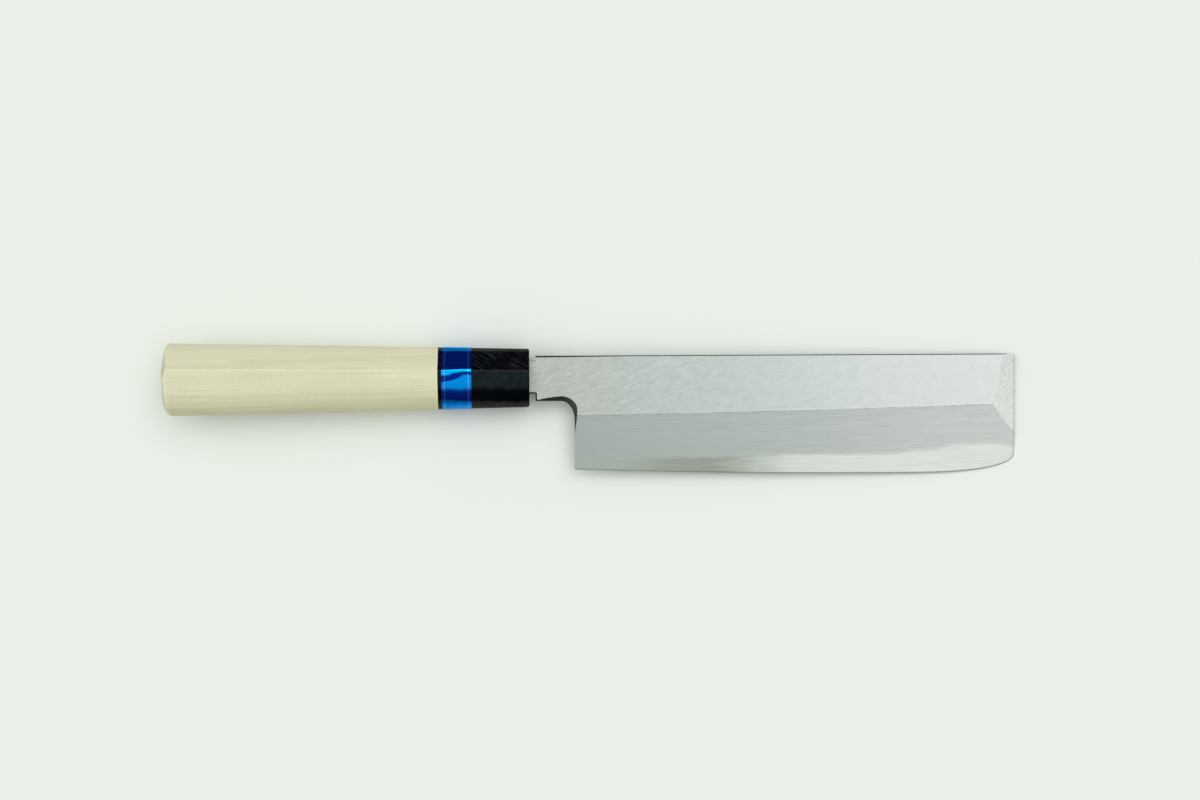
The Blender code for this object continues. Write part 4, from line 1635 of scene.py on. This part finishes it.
@dataclass
class Ferrule(Piece):
    """Black horn between grip and blade, with a socket for the tenon and a sealed mouth for the tang."""

    node = "ferrule"
    slot = Slot.HORN

    form: HandleForm
    grip: Grip
    seal: Seal
    rounding: float = 0.0007
    rings_along: int = 24
    rings_round_front: int = 6

    def finishes(self) -> dict[str, Finish]:
        """Black horn."""
        return {"buffalo_horn": BuffaloHorn(self.form.front)}

    def skin(self) -> Skin:
        """One skin, carried over the outside, into the mouth and back out of the socket.

        Returns:
            The piece's patches.
        """
        form, skin, loop, gap = self.form, Skin(), self.grip.tang_loop, self.grip.fit_gap
        outside = form.rings(np.linspace(form.rear, form.front - self.rounding, self.rings_along))
        front = form.rounded(form.front, self.rounding, self.rounding, 1, self.rings_round_front)
        lip = gap * 2 + self.seal.wall
        floor = form.front - self.seal.depth - gap
        socket_end = form.rear + self.grip.tenon_length + gap
        half = self.grip.tenon_height / 2 + gap, self.grip.tenon_thickness / 2 + gap
        skin.ring(outside, front[::-1][1:], loop(form.front, lip), loop(floor, lip), loop(floor, gap),
                  loop(socket_end, gap), form.under(socket_end, *half), form.under(form.rear, *half))
        return skin


@dataclass
class FoilBand(Piece):
    """Blue foil wrapped once round the ferrule, as one closed band."""

    node = "ferrule_band"
    slot = Slot.FOIL

    form: HandleForm
    width: float = 0.0109
    setback: float = 0.0014
    thickness: float = 0.00015
    gap: float = 0.00005
    inner_gap: float = 0.00001
    line_inset: float = 0.0011
    line_width: float = 0.00026
    rings_along: int = 40

    @property
    def borders(self) -> tuple[float, float]:
        """The band's rear and front border."""
        rear = self.form.rear + self.setback
        return rear, rear + self.width

    def finishes(self) -> dict[str, Finish]:
        """Blue foil."""
        return {"blue_foil": BlueFoil(*self.borders, self.line_inset, self.line_width)}

    def skin(self) -> Skin:
        """An outer skin and an inner one, joined at both borders.

        Returns:
            The piece's patches.
        """
        skin = Skin()
        outer = self.form.rings(np.linspace(*self.borders, self.rings_along), -self.gap - self.thickness)
        inner = self.form.rings(np.array(self.borders), -self.inner_gap)
        skin.ring(inner[:1], outer, inner[1:])
        return skin


# The studio


@dataclass
class Studio:
    """Pale floor, soft daylight from above and an overhead camera.

    A step of the dome is an axis of the direction (0 for X to 2 for Z) and a ramp along it.
    """

    floor_colour: Colour = (0.831, 0.871, 0.815)
    floor_roughness: float = 0.9
    floor_size: float = 6.0
    floor_steps: int = 12
    camera_place: tuple[float, float, float] = (0.00247, 0.0032, 0.6263)
    camera_turn: float = math.radians(-0.33)
    lens: float = 50.0
    sensor: float = 36.0
    clip_start: float = 0.01
    dome_strength: float = 1.66
    dome_steps: tuple[tuple[float, ...], ...] = (
        (2, 0.1, 0.9, 0.15, 1.0),
        (2, 0.92, 1.0, 1.0, 0.5),
        (0, -0.35, 0.45, 0.75, 1.30),
        (0, 0.35, 0.80, 1.0, 0.30),
        (0, -0.85, -0.35, 2.0, 1.0),
        (1, -0.8, 0.30, 0.34, 1.15),
        (1, 0.45, 0.95, 1.0, 0.35),
    )
    horizon_steps: tuple[tuple[float, ...], ...] = ((2, 0.06, 0.36, 0.47, 0.0), (1, -0.7, 0.0, 0.7, 1.0))

    def lay_floor(self) -> None:
        """One large level sheet at table height."""
        line = (steps(self.floor_steps) - 0.5) * self.floor_size
        sheet, mesh = Skin(), bpy.data.meshes.new("floor")
        sheet.add(stack(line, line[:, None], 0.0))
        mesh.from_pydata(sheet.points[0], [], sheet.faces)
        floor = bpy.data.objects.new("floor", mesh)
        bpy.context.scene.collection.objects.link(floor)
        material = bpy.data.materials.new("pale_floor")
        material.use_nodes = True
        inputs = material.node_tree.nodes["Principled BSDF"].inputs
        feed(inputs["Base Color"], self.floor_colour)
        feed(inputs["Roughness"], self.floor_roughness)
        feed(inputs["Specular IOR Level"], 0.0)
        mesh.materials.append(material)

    def light(self) -> None:
        """A soft dome of daylight.

        Its strength is a product of smooth steps, each along one axis of the direction: it rises from
        the horizon and dips at the zenith; overhead it grows towards the tip, low down it is brighter
        beyond the butt; it is dimmer towards the near side and beyond the far side. A pale band along the
        horizon is added.
        """
        world = bpy.data.worlds.new("studio_dome")
        bpy.context.scene.world = world
        world.use_nodes = True
        background = world.node_tree.nodes["Background"]
        way = add_node(world.node_tree, "TexCoord").outputs["Generated"]
        parts = [Number(part) for part in add_node(world.node_tree, "SeparateXYZ", {0: way}).outputs]
        dome, horizon = (
            math.prod(ramps[1:], start=ramps[0])
            for ramps in ([parts[axis].ramp(*ends) for axis, *ends in rows]
                          for rows in (self.dome_steps, self.horizon_steps))
        )
        feed(background.inputs["Strength"], (dome + horizon) * self.dome_strength)
        feed(background.inputs["Color"], (1.0, 1.0, 1.0))

    def set_camera(self) -> None:
        """Look straight down, as the photograph does."""
        camera = bpy.data.cameras.new("overhead")
        camera.lens = self.lens
        camera.sensor_width = self.sensor
        camera.clip_start = self.clip_start
        stand = bpy.data.objects.new("overhead", camera)
        stand.location = self.camera_place
        stand.rotation_euler = (0.0, 0.0, self.camera_turn)
        bpy.context.scene.collection.objects.link(stand)
        bpy.context.scene.camera = stand
        bpy.context.scene.view_settings.view_transform = "Standard"


def main() -> None:
    """Build the knife from the blade to the butt, then the studio round it."""
    logging.basicConfig(level=logging.INFO, format="%(message)s")
    blade, handle = BladeForm(), HandleForm()
    axes = KnifeAxes.from_record(frame["record"], handle.butt)
    cladding = Cladding(blade)
    grip = Grip(handle, cladding)
    seal = Seal(grip)
    for part in (cladding, CoreSteel(blade), grip, Ferrule(handle, grip, seal), seal, FoilBand(handle)):
        part.dress(part.build(axes), axes)

    studio = Studio()
    studio.lay_floor()
    studio.light()
    studio.set_camera()


if __name__ == "__main__":
    main()
